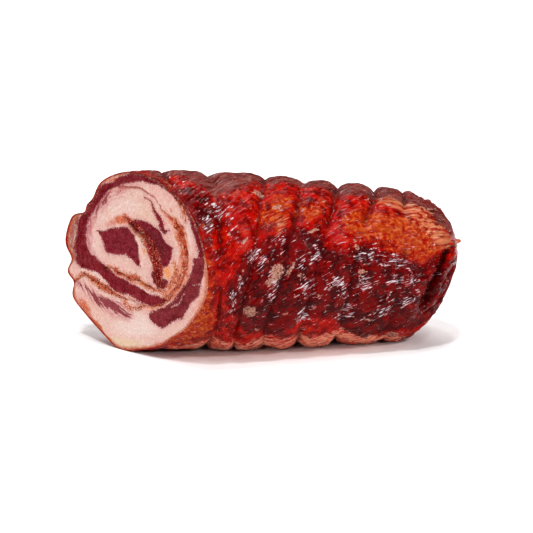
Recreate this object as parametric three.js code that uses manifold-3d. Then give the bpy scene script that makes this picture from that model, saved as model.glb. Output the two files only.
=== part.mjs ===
// A smoked roll of pork belly, tied while it hung, with its end cut off at a slant.
// Millimetres, +Z up. The roll lies along X: the cut end is at -X, the gathered end at +X.
import * as THREE from 'three';
import { mergeVertices } from 'three/addons/utils/BufferGeometryUtils.js';
import Module from 'manifold-3d';

const wasm = await Module();
wasm.setup();

// Along the roll
const START_X = -125;
const CUT_X = -70;
const CUT_SLOPE = 0.614;
const TAPER_X = -12;
const SHOULDER_X = 74;
const TIP_X = 108;

// Across the roll
const THICK_RADIUS = 47.3;
const SHOULDER_RADIUS = 41.3;
const NOSE_FULLNESS = 1.8;
const NOSE_ROUNDNESS = 0.6;
const REST_DEPTH = 1.4;
const CUT_END_LIFT = 1.9;
const CUT_END_LIFT_LENGTH = 45;

// The knot of the gathered end is off the roll's middle: towards the near side, and higher
const KNOT_SIDE = -5;
const KNOT_LIFT = 9;
const KNOT_SHIFT_X = 80;

// Where twine pinched the roll: place along it, and depth. The rings lean up and away.
const TIES = [[-54, 1.2], [-30.5, 3.2], [-7, 2.4], [12.5, 2.4], [31.5, 3.2], [52.5, 3.2], [73.5, 2.2]];
const TIE_WIDTH = 3.4;
const TIE_SOFTNESS = 1.4;
const TIE_LEAN_UP = 10.5;
const TIE_LEAN_FRONT = 14;
const LEAN_BEGINS = [-40, 6];
const LEAN_ENDS = [48, 105];

// Outline of the cut: swellings and dents as degrees, height and width in degrees.
// Angles turn from the near side (0) over the top (90).
const SWELLS = [[48, 4.6, 38], [87, 2.2, 24], [132, -4.7, 10], [145, -4.9, 6], [174, 1.6, 18],
  [185, -5.3, 7], [201, -5.9, 6], [203, 4.5, 16], [258, 3.1, 12], [302, -3.4, 43], [355, 2.4, 18]];
const SWELL_LENGTH = 80;
const SWELL_LEFT = 0.25;

// Pleats of the gathered end, and the one deep crease with the lobe beside it.
// Each fades out where the roll is thinner than its radius given here.
const PLEATS = 11;
const PLEAT_DEPTH = 0.085;
const CREASE = { angle: -42, height: -3.2, wide: 13, fadeRadius: 18 };
const LOBE = { angle: -74, height: 2.4, wide: 20, fadeRadius: 22 };
const TIE_FADE_RADIUS = 40;
const GATHER_FULL_X = 100;

// Casing that sticks out of the knot: length, radius, how flat it is and how far it leans over
const TAIL_LENGTH = 9;
const TAIL_ROOT = 4;
const TAIL_RADIUS = 1.7;
const TAIL_FLATNESS = 0.6;
const TAIL_LEAN = -62;

// Lean meat inside the fat, drawn on the cut as points of a middle line:
// to the right, up, thickness. The origin is the roll's middle.
const LAYER_END_X = 66;
const LAYER_GAP = 0.3;
const LEAN_LAYER = [[15, -26.6, 8], [22, -23.6, 9], [30.6, -16.5, 9.4], [37.4, -7.4, 9], [40.8, 2, 8],
  [43, 12, 5], [41.6, 22.4, 3.6], [35, 32.8, 3.6], [24, 41, 4.2], [10, 45, 4.6], [-4, 43.6, 4.4],
  [-16.4, 37.4, 4.6], [-26, 27.5, 5], [-31.2, 19, 5.4], [-35.3, 11, 6.4], [-36.4, 2.6, 8],
  [-29, -3.6, 8.4], [-22, -6.5, 7], [-13.5, -9.8, 8], [-3, -12.8, 7.4], [7, -14.8, 6], [15, -15.6, 3.4]];
const HEART_LEFT = [[-22.5, 9.5, 6], [-16.5, 9.5, 10], [-9, 11, 12], [-2.5, 11.5, 11], [2, 7.5, 6.5],
  [5.4, 2.6, 3]];
const HEART_RIGHT = [[-3, 23.6, 2.4], [4.5, 22.6, 4], [12, 20.4, 6.4], [17.6, 15.4, 8.6],
  [21, 9, 8.4], [20.6, 3, 6], [18.4, -2.6, 6], [14.8, -5.4, 4.4]];

// Behind the cut the layers move inwards by this share, so that the ties don't reach them
const LAYER_SINK = 0.07;
const LAYER_SINK_LENGTH = 11;

// Open for a few millimetres at the cut: the seam where one turn of the roll lies on the next,
// and the fold in the middle that the first turn was rolled round
const OPENING_DEPTH = 3;
const OPENING_FRONT = 8;
const FOLD = [[-3, 20.6, 0.8], [4, 18.4, 1.6], [9.6, 12, 2], [13, 5.6, 1.6], [14.6, 0.4, 0.8]];
const SEAM = [[-52, -20, 1.6], [-40.5, -16.5, 1.6], [-33, -12, 1], [-22, -13.4, 0.9], [-12, -17.2, 0.9],
  [0, -20.2, 0.9], [11, -20.4, 0.9], [20, -17, 0.9], [28.4, -9.6, 0.9], [34, 1, 1], [35.6, 11, 1],
  [34, 21, 1], [27, 29.4, 1], [18, 36, 0.9], [8.5, 39.8, 0.8]];

// Mesh fineness
const ROUND_STEPS = 72;
const NOSE_RINGS = 9;
const NOSE_START_X = SHOULDER_X + 5;
const PLAIN_RINGS = [-100, -78];
const LAYER_STEPS = 8;
const LAYER_SPACING = 5.5;
const OPENING_SPACING = 4;
const TAIL_SIDES = 10;
const WELD = 1e-4;
const BLOCK_SIZE = 400;

const { clamp, degToRad, radToDeg, euclideanModulo, lerp, smoothstep } = THREE.MathUtils;

function bump(angle, at, wide) {
  const turn = euclideanModulo(angle - at + 180, 360) - 180;
  return Math.exp(-((turn / wide) ** 2));
}

// Radius of the roll as if it were round, with the gathered end drawn in to nothing
function meanRadius(s) {
  const body = lerp(THICK_RADIUS, SHOULDER_RADIUS, clamp((s - TAPER_X) / (SHOULDER_X - TAPER_X), 0, 1));
  const toTip = clamp((s - SHOULDER_X) / (TIP_X - SHOULDER_X), 0, 1);
  return body * (1 - toTip ** NOSE_FULLNESS) ** NOSE_ROUNDNESS;
}

// Distance behind the slanting cut, measured along the roll
function behindCut(s, angle) {
  return s - CUT_X - CUT_SLOPE * THICK_RADIUS * Math.cos(degToRad(angle));
}

// Radius with the cut's own outline, which evens out further along
function outlineRadius(s, angle) {
  const swell = SWELLS.reduce((sum, [at, rise, wide]) => sum + rise * bump(angle, at, wide), 0);
  const kept = 1 - (1 - SWELL_LEFT) * smoothstep(behindCut(s, angle), 0, SWELL_LENGTH);
  return meanRadius(s) * (1 + (swell * kept) / THICK_RADIUS);
}

function pinch(s) {
  const groove = (at) => Math.exp(-((Math.abs(s - at) / TIE_WIDTH) ** TIE_SOFTNESS));
  const depth = TIES.reduce((sum, [at, deep]) => sum + deep * groove(at), 0);
  return depth * Math.min(meanRadius(s) / TIE_FADE_RADIUS, 1);
}

function swelling(s, angle, { angle: at, height, wide, fadeRadius }) {
  return height * bump(angle, at, wide) * Math.min(meanRadius(s) / fadeRadius, 1);
}

// What the gathering adds near the knot: pleats, the crease and the lobe
function gathering(s, angle) {
  const fold = (1 - Math.cos(degToRad(PLEATS * angle))) / 2;
  const pleat = -PLEAT_DEPTH * meanRadius(s) * fold;
  const gathered = smoothstep(s, SHOULDER_X, GATHER_FULL_X);
  return gathered * (pleat + swelling(s, angle, CREASE) + swelling(s, angle, LOBE));
}

// The roll's middle line
function middle(s) {
  const knot = smoothstep(s, KNOT_SHIFT_X, TIP_X);
  const level = meanRadius(Math.min(s, SHOULDER_X)) - REST_DEPTH;
  const lift = CUT_END_LIFT * smoothstep(-s, 0, CUT_END_LIFT_LENGTH) + KNOT_LIFT * knot;
  return { y: KNOT_SIDE * knot, z: level + lift };
}

// A point at a radius and an angle round the middle line
function aroundMiddle(s, angle, radius, x) {
  const a = degToRad(angle);
  const centre = middle(s);
  return new THREE.Vector3(x, centre.y - radius * Math.cos(a), centre.z + radius * Math.sin(a));
}

// A point of the skin, or for a share under 1 of the way to it. The rings lean as the ties do.
function skinPoint(s, angle, share) {
  const a = degToRad(angle);
  const leaning = smoothstep(s, ...LEAN_BEGINS) * (1 - smoothstep(s, ...LEAN_ENDS));
  const along = leaning * share * (TIE_LEAN_UP * Math.sin(a) - TIE_LEAN_FRONT * Math.cos(a));
  const radius = outlineRadius(s, angle) + gathering(s, angle) - pinch(s);
  return aroundMiddle(s, angle, share * radius, s + along);
}

// Moves every vertex of a geometry by a function of its position
function warp(geometry, move) {
  const places = geometry.attributes.position;
  const point = new THREE.Vector3();
  for (let i = 0; i < places.count; i += 1) {
    const moved = move(point.fromBufferAttribute(places, i));
    places.setXYZ(i, moved.x, moved.y, moved.z);
  }
  return geometry;
}

function toSolid(geometry) {
  const bare = new THREE.BufferGeometry();
  bare.setAttribute('position', geometry.attributes.position);
  if (geometry.index) bare.setIndex(geometry.index);
  const merged = mergeVertices(bare, WELD);
  const corners = merged.index.array;
  const triangles = [];
  for (let i = 0; i < corners.length; i += 3) {
    const [a, b, c] = corners.slice(i, i + 3);
    if (a !== b && b !== c && c !== a) triangles.push(a, b, c);
  }
  const mesh = new wasm.Mesh({
    numProp: 3,
    vertProperties: new Float32Array(merged.attributes.position.array),
    triVerts: new Uint32Array(triangles),
  });
  return new wasm.Manifold(mesh);
}

function toGeometry(solid) {
  const { vertProperties, triVerts } = solid.getMesh();
  const geometry = new THREE.BufferGeometry();
  geometry.setAttribute('position', new THREE.BufferAttribute(vertProperties, 3));
  geometry.setIndex(new THREE.BufferAttribute(triVerts, 1));
  const faceted = geometry.toNonIndexed();
  faceted.computeVertexNormals();
  return faceted;
}

function extrude(shape, depth, steps) {
  return new THREE.ExtrudeGeometry(shape, { depth, steps, bevelEnabled: false });
}

// Places along the roll where the skin has a ring of corners: at each tie, beside it and between
function skinRings() {
  const rings = [START_X, ...PLAIN_RINGS];
  TIES.forEach(([at], i) => {
    const next = i + 1 < TIES.length ? TIES[i + 1][0] : NOSE_START_X + TIE_WIDTH;
    rings.push(at - TIE_WIDTH, at, at + TIE_WIDTH, (at + next) / 2);
  });
  for (let i = 1; i <= NOSE_RINGS; i += 1) {
    const quarter = (i / (NOSE_RINGS + 1)) * (Math.PI / 2);
    rings.push(lerp(NOSE_START_X, TIP_X, Math.sin(quarter)));
  }
  return rings;
}

// The whole uncut roll: a drum of radius 1 turned round its axis, then shaped
function skinSolid() {
  const rings = skinRings().map((s) => new THREE.Vector2(1, s));
  const profile = [new THREE.Vector2(0, START_X), ...rings, new THREE.Vector2(0, TIP_X)];
  const drum = new THREE.LatheGeometry(profile, ROUND_STEPS);
  return toSolid(warp(drum, (p) => {
    const angle = radToDeg(Math.atan2(-p.x, p.z));
    return skinPoint(p.y, angle, Math.min(Math.hypot(p.x, p.z), 1));
  }));
}

// Outline of a band from its middle line, whose third number is the band's thickness.
// Each end comes to a blunt point.
function bandShape(line, grow, spacing) {
  const curve = new THREE.CatmullRomCurve3(line.map((p) => new THREE.Vector3(...p)), false, 'centripetal');
  const count = Math.round(curve.getLength() / spacing);
  const left = [];
  const right = [];
  const ends = [];
  for (let i = 0; i <= count; i += 1) {
    const at = curve.getPointAt(i / count);
    const along = curve.getTangentAt(i / count);
    const way = new THREE.Vector2(along.x, along.y).normalize();
    const half = at.z / 2 + grow;
    left.push(new THREE.Vector2(at.x - way.y * half, at.y + way.x * half));
    right.unshift(new THREE.Vector2(at.x + way.y * half, at.y - way.x * half));
    if (i === 0 || i === count) {
      const nose = (i === 0 ? -1 : 1) * (at.z / 4 + grow);
      ends.push(new THREE.Vector2(at.x + way.x * nose, at.y + way.y * nose));
    }
  }
  return new THREE.Shape([ends[0], ...left, ends[1], ...right]);
}

// A layer drawn on the cut and run through the roll, following its taper
function layerSolid(line, grow) {
  const end = LAYER_END_X + grow;
  const straight = extrude(bandShape(line, grow, LAYER_SPACING), end - START_X, LAYER_STEPS);
  return toSolid(warp(straight, (p) => {
    const s = end - p.z;
    const angle = radToDeg(Math.atan2(p.y, p.x));
    const atCut = CUT_X + CUT_SLOPE * p.x;
    const share = Math.hypot(p.x, p.y) / outlineRadius(atCut, angle);
    const inwards = 1 - LAYER_SINK * smoothstep(s - atCut, 0, LAYER_SINK_LENGTH);
    return aroundMiddle(s, angle, share * inwards * outlineRadius(s, angle), s);
  }));
}

// A narrow opening drawn on the cut, equally deep all along it
function openingSolid(line) {
  const straight = extrude(bandShape(line, 0, OPENING_SPACING), OPENING_DEPTH + OPENING_FRONT, 1);
  const level = middle(START_X).z;
  return toSolid(warp(straight, (p) => new THREE.Vector3(
    CUT_X + CUT_SLOPE * p.x + OPENING_DEPTH - p.z, -p.x, level + p.y)));
}

// Everything in front of the slanting cut
function beforeCut() {
  const block = new THREE.BoxGeometry(BLOCK_SIZE, BLOCK_SIZE, BLOCK_SIZE);
  block.translate(-BLOCK_SIZE / 2, 0, 0);
  block.rotateZ(Math.atan(CUT_SLOPE));
  block.translate(CUT_X, 0, 0);
  return toSolid(block);
}

function belowTable() {
  return toSolid(new THREE.BoxGeometry(BLOCK_SIZE, BLOCK_SIZE, BLOCK_SIZE).translate(0, 0, -BLOCK_SIZE / 2));
}

// The short end of casing that sticks out where the roll was gathered
function tailSolid() {
  const profile = [[0, -TAIL_ROOT], [1.5, -TAIL_ROOT], [0.9, 0.2 * TAIL_LENGTH], [1, 0.7 * TAIL_LENGTH],
    [0.6, TAIL_LENGTH], [0, TAIL_LENGTH]];
  const points = profile.map(([wide, up]) => new THREE.Vector2(wide * TAIL_RADIUS, up));
  const stub = new THREE.LatheGeometry(points, TAIL_SIDES);
  stub.scale(1, 1, TAIL_FLATNESS);
  stub.rotateZ(degToRad(TAIL_LEAN));
  const knot = middle(TIP_X);
  stub.translate(TIP_X - TAIL_RADIUS, knot.y, knot.z);
  return toSolid(stub);
}

function node(name, solid, color, roughness) {
  const material = new THREE.MeshStandardMaterial({ color, roughness, metalness: 0 });
  const mesh = new THREE.Mesh(toGeometry(solid), material);
  mesh.name = name;
  return mesh;
}

function buildRoll() {
  const cutOff = beforeCut();
  const layers = { lean_layer: LEAN_LAYER, lean_heart_left: HEART_LEFT, lean_heart_right: HEART_RIGHT };
  const roll = new THREE.Group();
  let fat = skinSolid().add(tailSolid()).subtract(cutOff).subtract(belowTable());
  [SEAM, FOLD].forEach((line) => {
    fat = fat.subtract(openingSolid(line));
  });
  Object.entries(layers).forEach(([name, line]) => {
    fat = fat.subtract(layerSolid(line, LAYER_GAP));
    roll.add(node(name, layerSolid(line, 0).subtract(cutOff), 0x6e2a2c, 0.4));
  });
  roll.add(node('belly_fat', fat, 0xc9958a, 0.35));

  const centre = new THREE.Box3().setFromObject(roll).getCenter(new THREE.Vector3());
  roll.position.set(-centre.x, -centre.y, 0);
  return roll;
}

export default buildRoll();
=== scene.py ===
# %% [markdown]
# # A smoked roll of pork belly, cut at a slant
#
# A flat pork belly is rubbed with ground pepper and chilli, rolled up with its fat outside,
# pulled into a natural casing, tied, smoked and hung to dry. The twine is gone here, and so is
# one end: the slanting cut shows fat and lean wound round a small folded heart.
#
# The lesson makes the two things that the eye meets: the shrunken casing, and the cut face.
# Both are wrapped round the same measures as the plain solids, in one shared frame, in metres.

import bpy
import numpy as np
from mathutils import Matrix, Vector


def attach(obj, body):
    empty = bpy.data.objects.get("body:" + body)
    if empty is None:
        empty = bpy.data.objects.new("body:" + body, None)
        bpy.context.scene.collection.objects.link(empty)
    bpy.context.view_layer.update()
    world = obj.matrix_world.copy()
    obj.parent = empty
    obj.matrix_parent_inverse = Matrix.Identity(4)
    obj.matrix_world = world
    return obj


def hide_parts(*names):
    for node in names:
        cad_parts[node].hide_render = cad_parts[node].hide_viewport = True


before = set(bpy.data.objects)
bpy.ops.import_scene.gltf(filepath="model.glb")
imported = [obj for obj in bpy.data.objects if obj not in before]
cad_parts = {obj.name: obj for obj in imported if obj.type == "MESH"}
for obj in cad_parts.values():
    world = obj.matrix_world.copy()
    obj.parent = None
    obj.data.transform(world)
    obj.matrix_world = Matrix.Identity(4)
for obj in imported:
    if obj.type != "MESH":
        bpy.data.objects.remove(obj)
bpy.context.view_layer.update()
print("solids:", sorted(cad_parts))

# %% [markdown]
# ## Small tools
#
# Every shape below is a rule worked out for many points at once, so numpy does the counting.
# Two soft steps are enough for most of it: a step that eases in and out, and a hump on a turn
# of the roll. Angles turn round the roll in degrees, from the near side over the top.

# %% Soft steps
def ease(x, start, end):
    t = np.clip((x - start) / (end - start), 0, 1)
    return t * t * (3 - 2 * t)


def hump(angle, at, wide):
    turn = (angle - at + 180) % 360 - 180
    return np.exp(-(turn / wide) ** 2)


def mix(a, b, share):
    return a + (b - a) * share


def paint(red, green, blue):
    """A colour as a painter reads it off a chart, 0 to 255, turned into the light it sends back."""
    c = np.array([red, green, blue]) / 255
    return np.where(c <= 0.04045, c / 12.92, ((c + 0.055) / 1.055) ** 2.4)


print("a soft step is at", ease(0.25, 0, 1), "a quarter of the way and at", ease(0.5, 0, 1), "half way")


# %% [markdown]
# Meat has no straight line in it. Smooth random values, the same on each run, bend every edge
# and raise every wrinkle. Each corner of a grid of cells gets a random direction; inside a cell
# the eight corners are blended.

# %% Smooth random values
draw = np.random.default_rng(41)
SHUFFLED = draw.permutation(256)
WAYS = draw.normal(size=(256, 3))
WAYS /= np.linalg.norm(WAYS, axis=1, keepdims=True)


def noise_at(p):
    """Smooth random values, about -1 to 1, that change over a length of about 1."""
    cell = np.floor(p).astype(int)
    f = p - cell
    fade = f * f * f * (f * (f * 6 - 15) + 10)
    total = np.zeros(p.shape[:-1])
    for corner in np.ndindex(2, 2, 2):
        a, b, c = (cell[..., i] + corner[i] for i in range(3))
        way = WAYS[SHUFFLED[(SHUFFLED[(SHUFFLED[a & 255] + b) & 255] + c) & 255]]
        weight = np.prod([fade[..., i] if corner[i] else 1 - fade[..., i] for i in range(3)], axis=0)
        total += weight * (way * (f - corner)).sum(-1)
    return total * 1.7


def noise(x, y, z=0.0):
    return noise_at(np.stack(np.broadcast_arrays(x, y, z), -1))


def crest(value, sharp=0.8):
    """Turns smooth values into narrow crests, -1 between them and 1 on them."""
    return 1 - 2 * np.clip(np.abs(value) * 1.6, 0, 1) ** sharp


print("random values, lowest and highest:", [round(float(f(noise(*draw.uniform(-50, 50, (3, 9999))))), 2)
                                             for f in (np.min, np.max)])

# %% [markdown]
# ## The roll's measures
#
# The casing and the cut have to lie exactly where the solids are, so the lesson keeps the
# same measures: how the roll tapers, where twine pinched it, the outline of the cut, and the
# gathered end. Millimetres, with X along the roll; the last step moves it into the frame.

# %% Measures of the roll
CUT_X, CUT_SLOPE = -70, 0.614
TAPER_X, SHOULDER_X, TIP_X = -12, 74, 108
THICK_RADIUS, SHOULDER_RADIUS = 47.3, 41.3
NOSE_FULLNESS, NOSE_ROUNDNESS = 1.8, 0.6
REST_DEPTH, CUT_END_LIFT, CUT_END_LIFT_LENGTH = 1.4, 1.9, 45
KNOT_SIDE, KNOT_LIFT, KNOT_SHIFT_X = -5, 9, 80
TIES = [(-54, 1.2), (-30.5, 3.2), (-7, 2.4), (12.5, 2.4), (31.5, 3.2), (52.5, 3.2), (73.5, 2.2)]
TIE_WIDTH, TIE_SOFTNESS, TIE_FADE_RADIUS = 3.4, 1.4, 40
TIE_LEAN_UP, TIE_LEAN_FRONT, LEAN_BEGINS, LEAN_ENDS = 10.5, 14, (-40, 6), (48, 105)
SWELLS = [(48, 4.6, 38), (87, 2.2, 24), (132, -4.7, 10), (145, -4.9, 6), (174, 1.6, 18),
          (185, -5.3, 7), (201, -5.9, 6), (203, 4.5, 16), (258, 3.1, 12), (302, -3.4, 43),
          (355, 2.4, 18)]
SWELL_LENGTH, SWELL_LEFT = 80, 0.25
PLEATS, PLEAT_DEPTH, GATHER_FULL_X = 11, 0.085, 100
CREASE, LOBE = (-42, -3.2, 13, 18), (-74, 2.4, 20, 22)
FRAME_SHIFT = np.array([-7.544, 0.643, 0.0])


def mean_radius(s):
    body = mix(THICK_RADIUS, SHOULDER_RADIUS, np.clip((s - TAPER_X) / (SHOULDER_X - TAPER_X), 0, 1))
    to_tip = np.clip((s - SHOULDER_X) / (TIP_X - SHOULDER_X), 0, 1)
    return body * (1 - to_tip ** NOSE_FULLNESS) ** NOSE_ROUNDNESS


def behind_cut(s, angle):
    return s - CUT_X - CUT_SLOPE * THICK_RADIUS * np.cos(np.radians(angle))


def outline_radius(s, angle):
    swell = sum(rise * hump(angle, at, wide) for at, rise, wide in SWELLS)
    kept = 1 - (1 - SWELL_LEFT) * ease(behind_cut(s, angle), 0, SWELL_LENGTH)
    return mean_radius(s) * (1 + swell * kept / THICK_RADIUS)


def middle(s):
    """The roll's middle line: sideways, and up."""
    knot = ease(s, KNOT_SHIFT_X, TIP_X)
    lift = CUT_END_LIFT * ease(-s, 0, CUT_END_LIFT_LENGTH) + KNOT_LIFT * knot
    return KNOT_SIDE * knot, mean_radius(np.minimum(s, SHOULDER_X)) - REST_DEPTH + lift


print("radius along the roll, mm:", {s: round(float(mean_radius(s)), 1) for s in (-60, 0, 60, 90, 104)})

# %% [markdown]
# ## The casing's form
#
# Three sizes of form make the outside. Twine left rings that pinch the roll, deeper in some
# places than in others. Muscle and fat swell between them. At the far end the casing is
# drawn together into pleats round a knot, with one deep crease and a lobe that folds over it.

# %% Ties, pleats and muscle
TIE_LINE_DEPTH, TIE_LINE_WIDTH = 0.9, 1.0
MUSCLE_RISE = 0.9
KNOT_FOLD = [(-40, 85.5), (-19, 86), (-12, 86.5), (-8, 88), (-1, 90), (5, 92), (10, 94), (26, 97)]


def ties(s, angle):
    """The broad pinch of the ties, uneven round each ring, and the thin mark of the twine itself."""
    broad, thin, a = 0, 0, np.radians(angle)
    soft = 1 - 0.4 * hump(angle, 8, 52)
    for number, (at, deep) in enumerate(TIES):
        uneven = noise(2.2 * np.cos(a) + 9 * number, 2.2 * np.sin(a), 3.7)
        wander = 1.2 * noise(2.6 * np.cos(a), 2.6 * np.sin(a) + 7 * number, 1.3)
        away = np.abs(s + wander - at)
        broad += deep * soft * (1 + 0.35 * uneven) * np.exp(-(away / TIE_WIDTH) ** TIE_SOFTNESS)
        thin += ease(uneven, -0.45, 0.15) * np.exp(-(away / TIE_LINE_WIDTH) ** 2)
    return broad, thin


def pinch(s, angle):
    broad, thin = ties(s, angle)
    return (broad + TIE_LINE_DEPTH * thin) * np.minimum(mean_radius(s) / TIE_FADE_RADIUS, 1)


def swelling(s, angle, form):
    at, height, wide, fade_radius = form
    return height * hump(angle, at, wide) * np.minimum(mean_radius(s) / fade_radius, 1)


def gathering(s, angle):
    a = np.radians(angle)
    wander = 9 * noise(1.5 * np.cos(a), 1.5 * np.sin(a), s / 30)
    fold = (1 - np.cos(np.radians(PLEATS * (angle + wander)))) / 2
    finer = np.abs(np.sin(np.radians(19 * angle + 60 * noise(2 * np.cos(a), 2 * np.sin(a), s / 22))))
    pleat = -mean_radius(s) * (PLEAT_DEPTH * fold ** 1.5 + 0.03 * finer)
    return ease(s, SHOULDER_X, GATHER_FULL_X) * (
        pleat + swelling(s, angle, CREASE) + swelling(s, angle, LOBE))


def knot_fold_place(s, angle):
    """How far past the fold each point is, mm, and whether the fold reaches that angle."""
    angle = (angle + 180) % 360 - 180
    away = s - np.interp(angle, *zip(*KNOT_FOLD))
    return away, ease(angle, -40, -20) * (1 - ease(angle, 14, 26))


def knot_fold(s, angle):
    """The one deep fold beside the knot, and the thick lip of casing on its far side."""
    away, there = knot_fold_place(s, angle)
    return there * (2.4 * np.exp(-((away - 5) / 3) ** 2) - 5 * np.exp(-(away / 1.8) ** 2))


def muscle(s, angle):
    a = np.radians(angle)
    return MUSCLE_RISE * noise(s / 21, 2.1 * np.cos(a), 2.1 * np.sin(a)) * ease(behind_cut(s, angle), 0, 12)


def skin_radius(s, angle):
    folded = gathering(s, angle) + knot_fold(s, angle)
    return outline_radius(s, angle) + folded + muscle(s, angle) - pinch(s, angle)


one_turn = np.arange(0.0, 360.0)
print("deepest pinch of each tie, mm:", [round(float(pinch(np.full(360, float(at)), one_turn).max()), 1)
                                         for at, _ in TIES])

# %% [markdown]
# A point of the skin is found from its station along the roll and its angle round it. The
# rings lean, because twine is wound on at a slant: up on top, and towards the cut in front.

# %% Points of the skin
def around_middle(s, angle, radius, x):
    a = np.radians(angle)
    side, up = middle(s)
    return np.stack([x, side - radius * np.cos(a), up + radius * np.sin(a)], -1)


def skin_point(s, angle, radius):
    a = np.radians(angle)
    leaning = ease(s, *LEAN_BEGINS) * (1 - ease(s, *LEAN_ENDS))
    lean = leaning * (TIE_LEAN_UP * np.sin(a) - TIE_LEAN_FRONT * np.cos(a))
    return around_middle(s, angle, radius, s + lean)


def cut_station(angle):
    """Where the slanting cut meets the skin, found in a few rounds, and the radius there."""
    s = np.full_like(angle, CUT_X, dtype=float)
    for _ in range(12):
        radius = skin_radius(s, angle)
        s = CUT_X + CUT_SLOPE * radius * np.cos(np.radians(angle))
    return s, radius


print("the cut meets the skin at these stations, mm:", cut_station(np.array([0.0, 90, 180, 270]))[0].round(1))

# %% [markdown]
# ## Wrinkles of the casing
#
# As the meat dries it shrinks, and the thin casing is too large for it: it lies in fine
# creases. They run at a slant round the roll, the way the casing was twisted when it was
# filled, and turn along the roll on top and towards the knot. Real bumps in the mesh catch
# the light from any side, so the larger creases are moved points; the finest stay in the finish.
#
# The creases need a place of their own on the skin. It is the roll unrolled, and twisted
# back, so that a crease is simply long one way and narrow the other.

# %% Creases
TWIST_PER_MM, TWIST_FADES_LOW, TWIST_FADES_HIGH = 0.0155, (78, 98), (20, 74)


def turned(s, fades):
    """How far the casing has been twisted round by station s, in radians."""
    ends = np.linspace(-110, TIP_X, 400)
    slope = TWIST_PER_MM * (1 - ease(ends, *fades))
    return np.interp(s, ends, np.cumsum(slope) * (ends[1] - ends[0]))


def skin_place(s, angle):
    """A place on the untwisted skin, mm: along the roll, and two ways round it."""
    a = np.radians(angle)
    high = ease(np.sin(a), -0.1, 0.45)
    a = a - mix(turned(s, TWIST_FADES_LOW), turned(s, TWIST_FADES_HIGH), high)
    radius = np.maximum(mean_radius(s), 36)
    return np.stack([s, radius * np.cos(a), radius * np.sin(a)], -1)


def creases(s, angle):
    """How far each crease lifts the casing, mm."""
    a = np.radians(angle)
    near, far = ease(s, 30, 85), ease(behind_cut(s, angle), 0.5, 5)
    top = hump(angle, 92, 32)
    here = skin_place(s, angle)
    bent = here + 1.3 * np.stack([noise_at(here / 8 + seed) for seed in (4, 21, 40)], -1)

    def run(long, wide, seed):
        return noise(bent[..., 0] / long + seed, bent[..., 1] / wide, bent[..., 2] / wide)

    patchy = 0.55 + 0.9 * ease(noise_at(here / 16 + 3), -0.4, 0.5)
    slanting = 0.3 * crest(run(13, 3.4, 1)) + 0.14 * crest(run(7, 2.1, 31), 0.7)
    lumps = 0.5 * noise_at(here / 6.5 + 60) + 0.2 * noise_at(here / 3 + 70)
    radius = np.maximum(mean_radius(s), 24)
    straight = crest(noise(s / 26, radius * np.cos(a) / 2.6, radius * np.sin(a) / 2.6 + 80))
    along = straight * (0.5 * np.maximum(top, 0.9 * near) + 0.35 * ease(s, 82, 98))
    fade = np.minimum(mean_radius(s) / 26, 1)
    return far * fade * (patchy * slanting * (1 - 0.75 * top) * (1 - 0.35 * near) + lumps + along)


sample = creases(np.zeros(360), one_turn)
print("creases half way along the roll, mm:", sample.min().round(2), "to", sample.max().round(2))

# %% [markdown]
# ## The casing as a closed skin
#
# The grid starts on the slanting edge of the cut and runs to the knot. At the cut the casing
# turns in over a thin rim, goes a few millimetres into the roll and is closed by a floor:
# the cut face will sit in that shallow dish. So the piece is closed, and its faces point out.

# %% Build a mesh object
ROUND, BODY_RINGS, NOSE_RINGS, NOSE_START_X = 480, 146, 46, 79
RIM_WALL, DISH_DEPTH = 0.45, 4.5
PER_METRE = 1000


def make_piece(name, points, quads, triangles):
    """A closed mesh piece from points in millimetres of the roll, with its flat lists of corners."""
    mesh = bpy.data.meshes.new(name)
    corners = np.concatenate([np.ravel(quads), np.ravel(triangles)]).astype(np.int32)
    sides = np.concatenate([np.full(len(quads), 4), np.full(len(triangles), 3)])
    starts = np.concatenate([[0], np.cumsum(sides)[:-1]]).astype(np.int32)
    mesh.vertices.add(len(points))
    mesh.vertices.foreach_set("co", ((points + FRAME_SHIFT) / PER_METRE).astype(np.float32).ravel())
    mesh.loops.add(len(corners))
    mesh.loops.foreach_set("vertex_index", corners)
    mesh.polygons.add(len(starts))
    mesh.polygons.foreach_set("loop_start", starts)
    mesh.update(calc_edges=True)
    mesh.validate()
    mesh.polygons.foreach_set("use_smooth", np.ones(len(mesh.polygons), bool))
    piece = bpy.data.objects.new(name, mesh)
    bpy.context.scene.collection.objects.link(piece)
    print(name, len(points), "points,", len(quads) * 2 + len(triangles), "triangles")
    return piece


def store(piece, name, values):
    """Keeps a value, or a colour or direction of three, for each point, for the finish to read."""
    kind = "FLOAT" if values.ndim == 1 else "FLOAT_VECTOR"
    layer = piece.data.attributes.new(name, kind, "POINT")
    layer.data.foreach_set("value" if values.ndim == 1 else "vector", values.astype(np.float32).ravel())


def ring_quads(rings, around):
    """Quads between rings of points, each ring closed on itself."""
    i, j = np.meshgrid(np.arange(rings - 1), np.arange(around), indexing="ij")
    k = (j + 1) % around
    return np.stack([i * around + j, (i + 1) * around + j, (i + 1) * around + k, i * around + k],
                    -1).reshape(-1, 4)


def close_rings(name, rings, first, last):
    """A closed piece from rings of points, with one point at each end."""
    count, around = rings.shape[:2]
    j = np.arange(around)
    k, end = (j + 1) % around, (count - 1) * around
    fans = np.concatenate([np.stack([j, k, np.full(around, count * around)], -1),
                           np.stack([end + k, end + j, np.full(around, count * around + 1)], -1)])
    return make_piece(name, np.concatenate([rings.reshape(-1, 3), [first, last]]),
                      ring_quads(count, around), fans)


print("the casing gets", BODY_RINGS + NOSE_RINGS - 1, "rings of", ROUND, "points")

# %% [markdown]
# The casing is drawn as rings round the roll. From the slanting cut to the start of the
# gathered end they are evenly spaced, and over the gathered end they lie closer, so that the
# pleats stay sharp. Each point then moves out or in by the creases.

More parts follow.
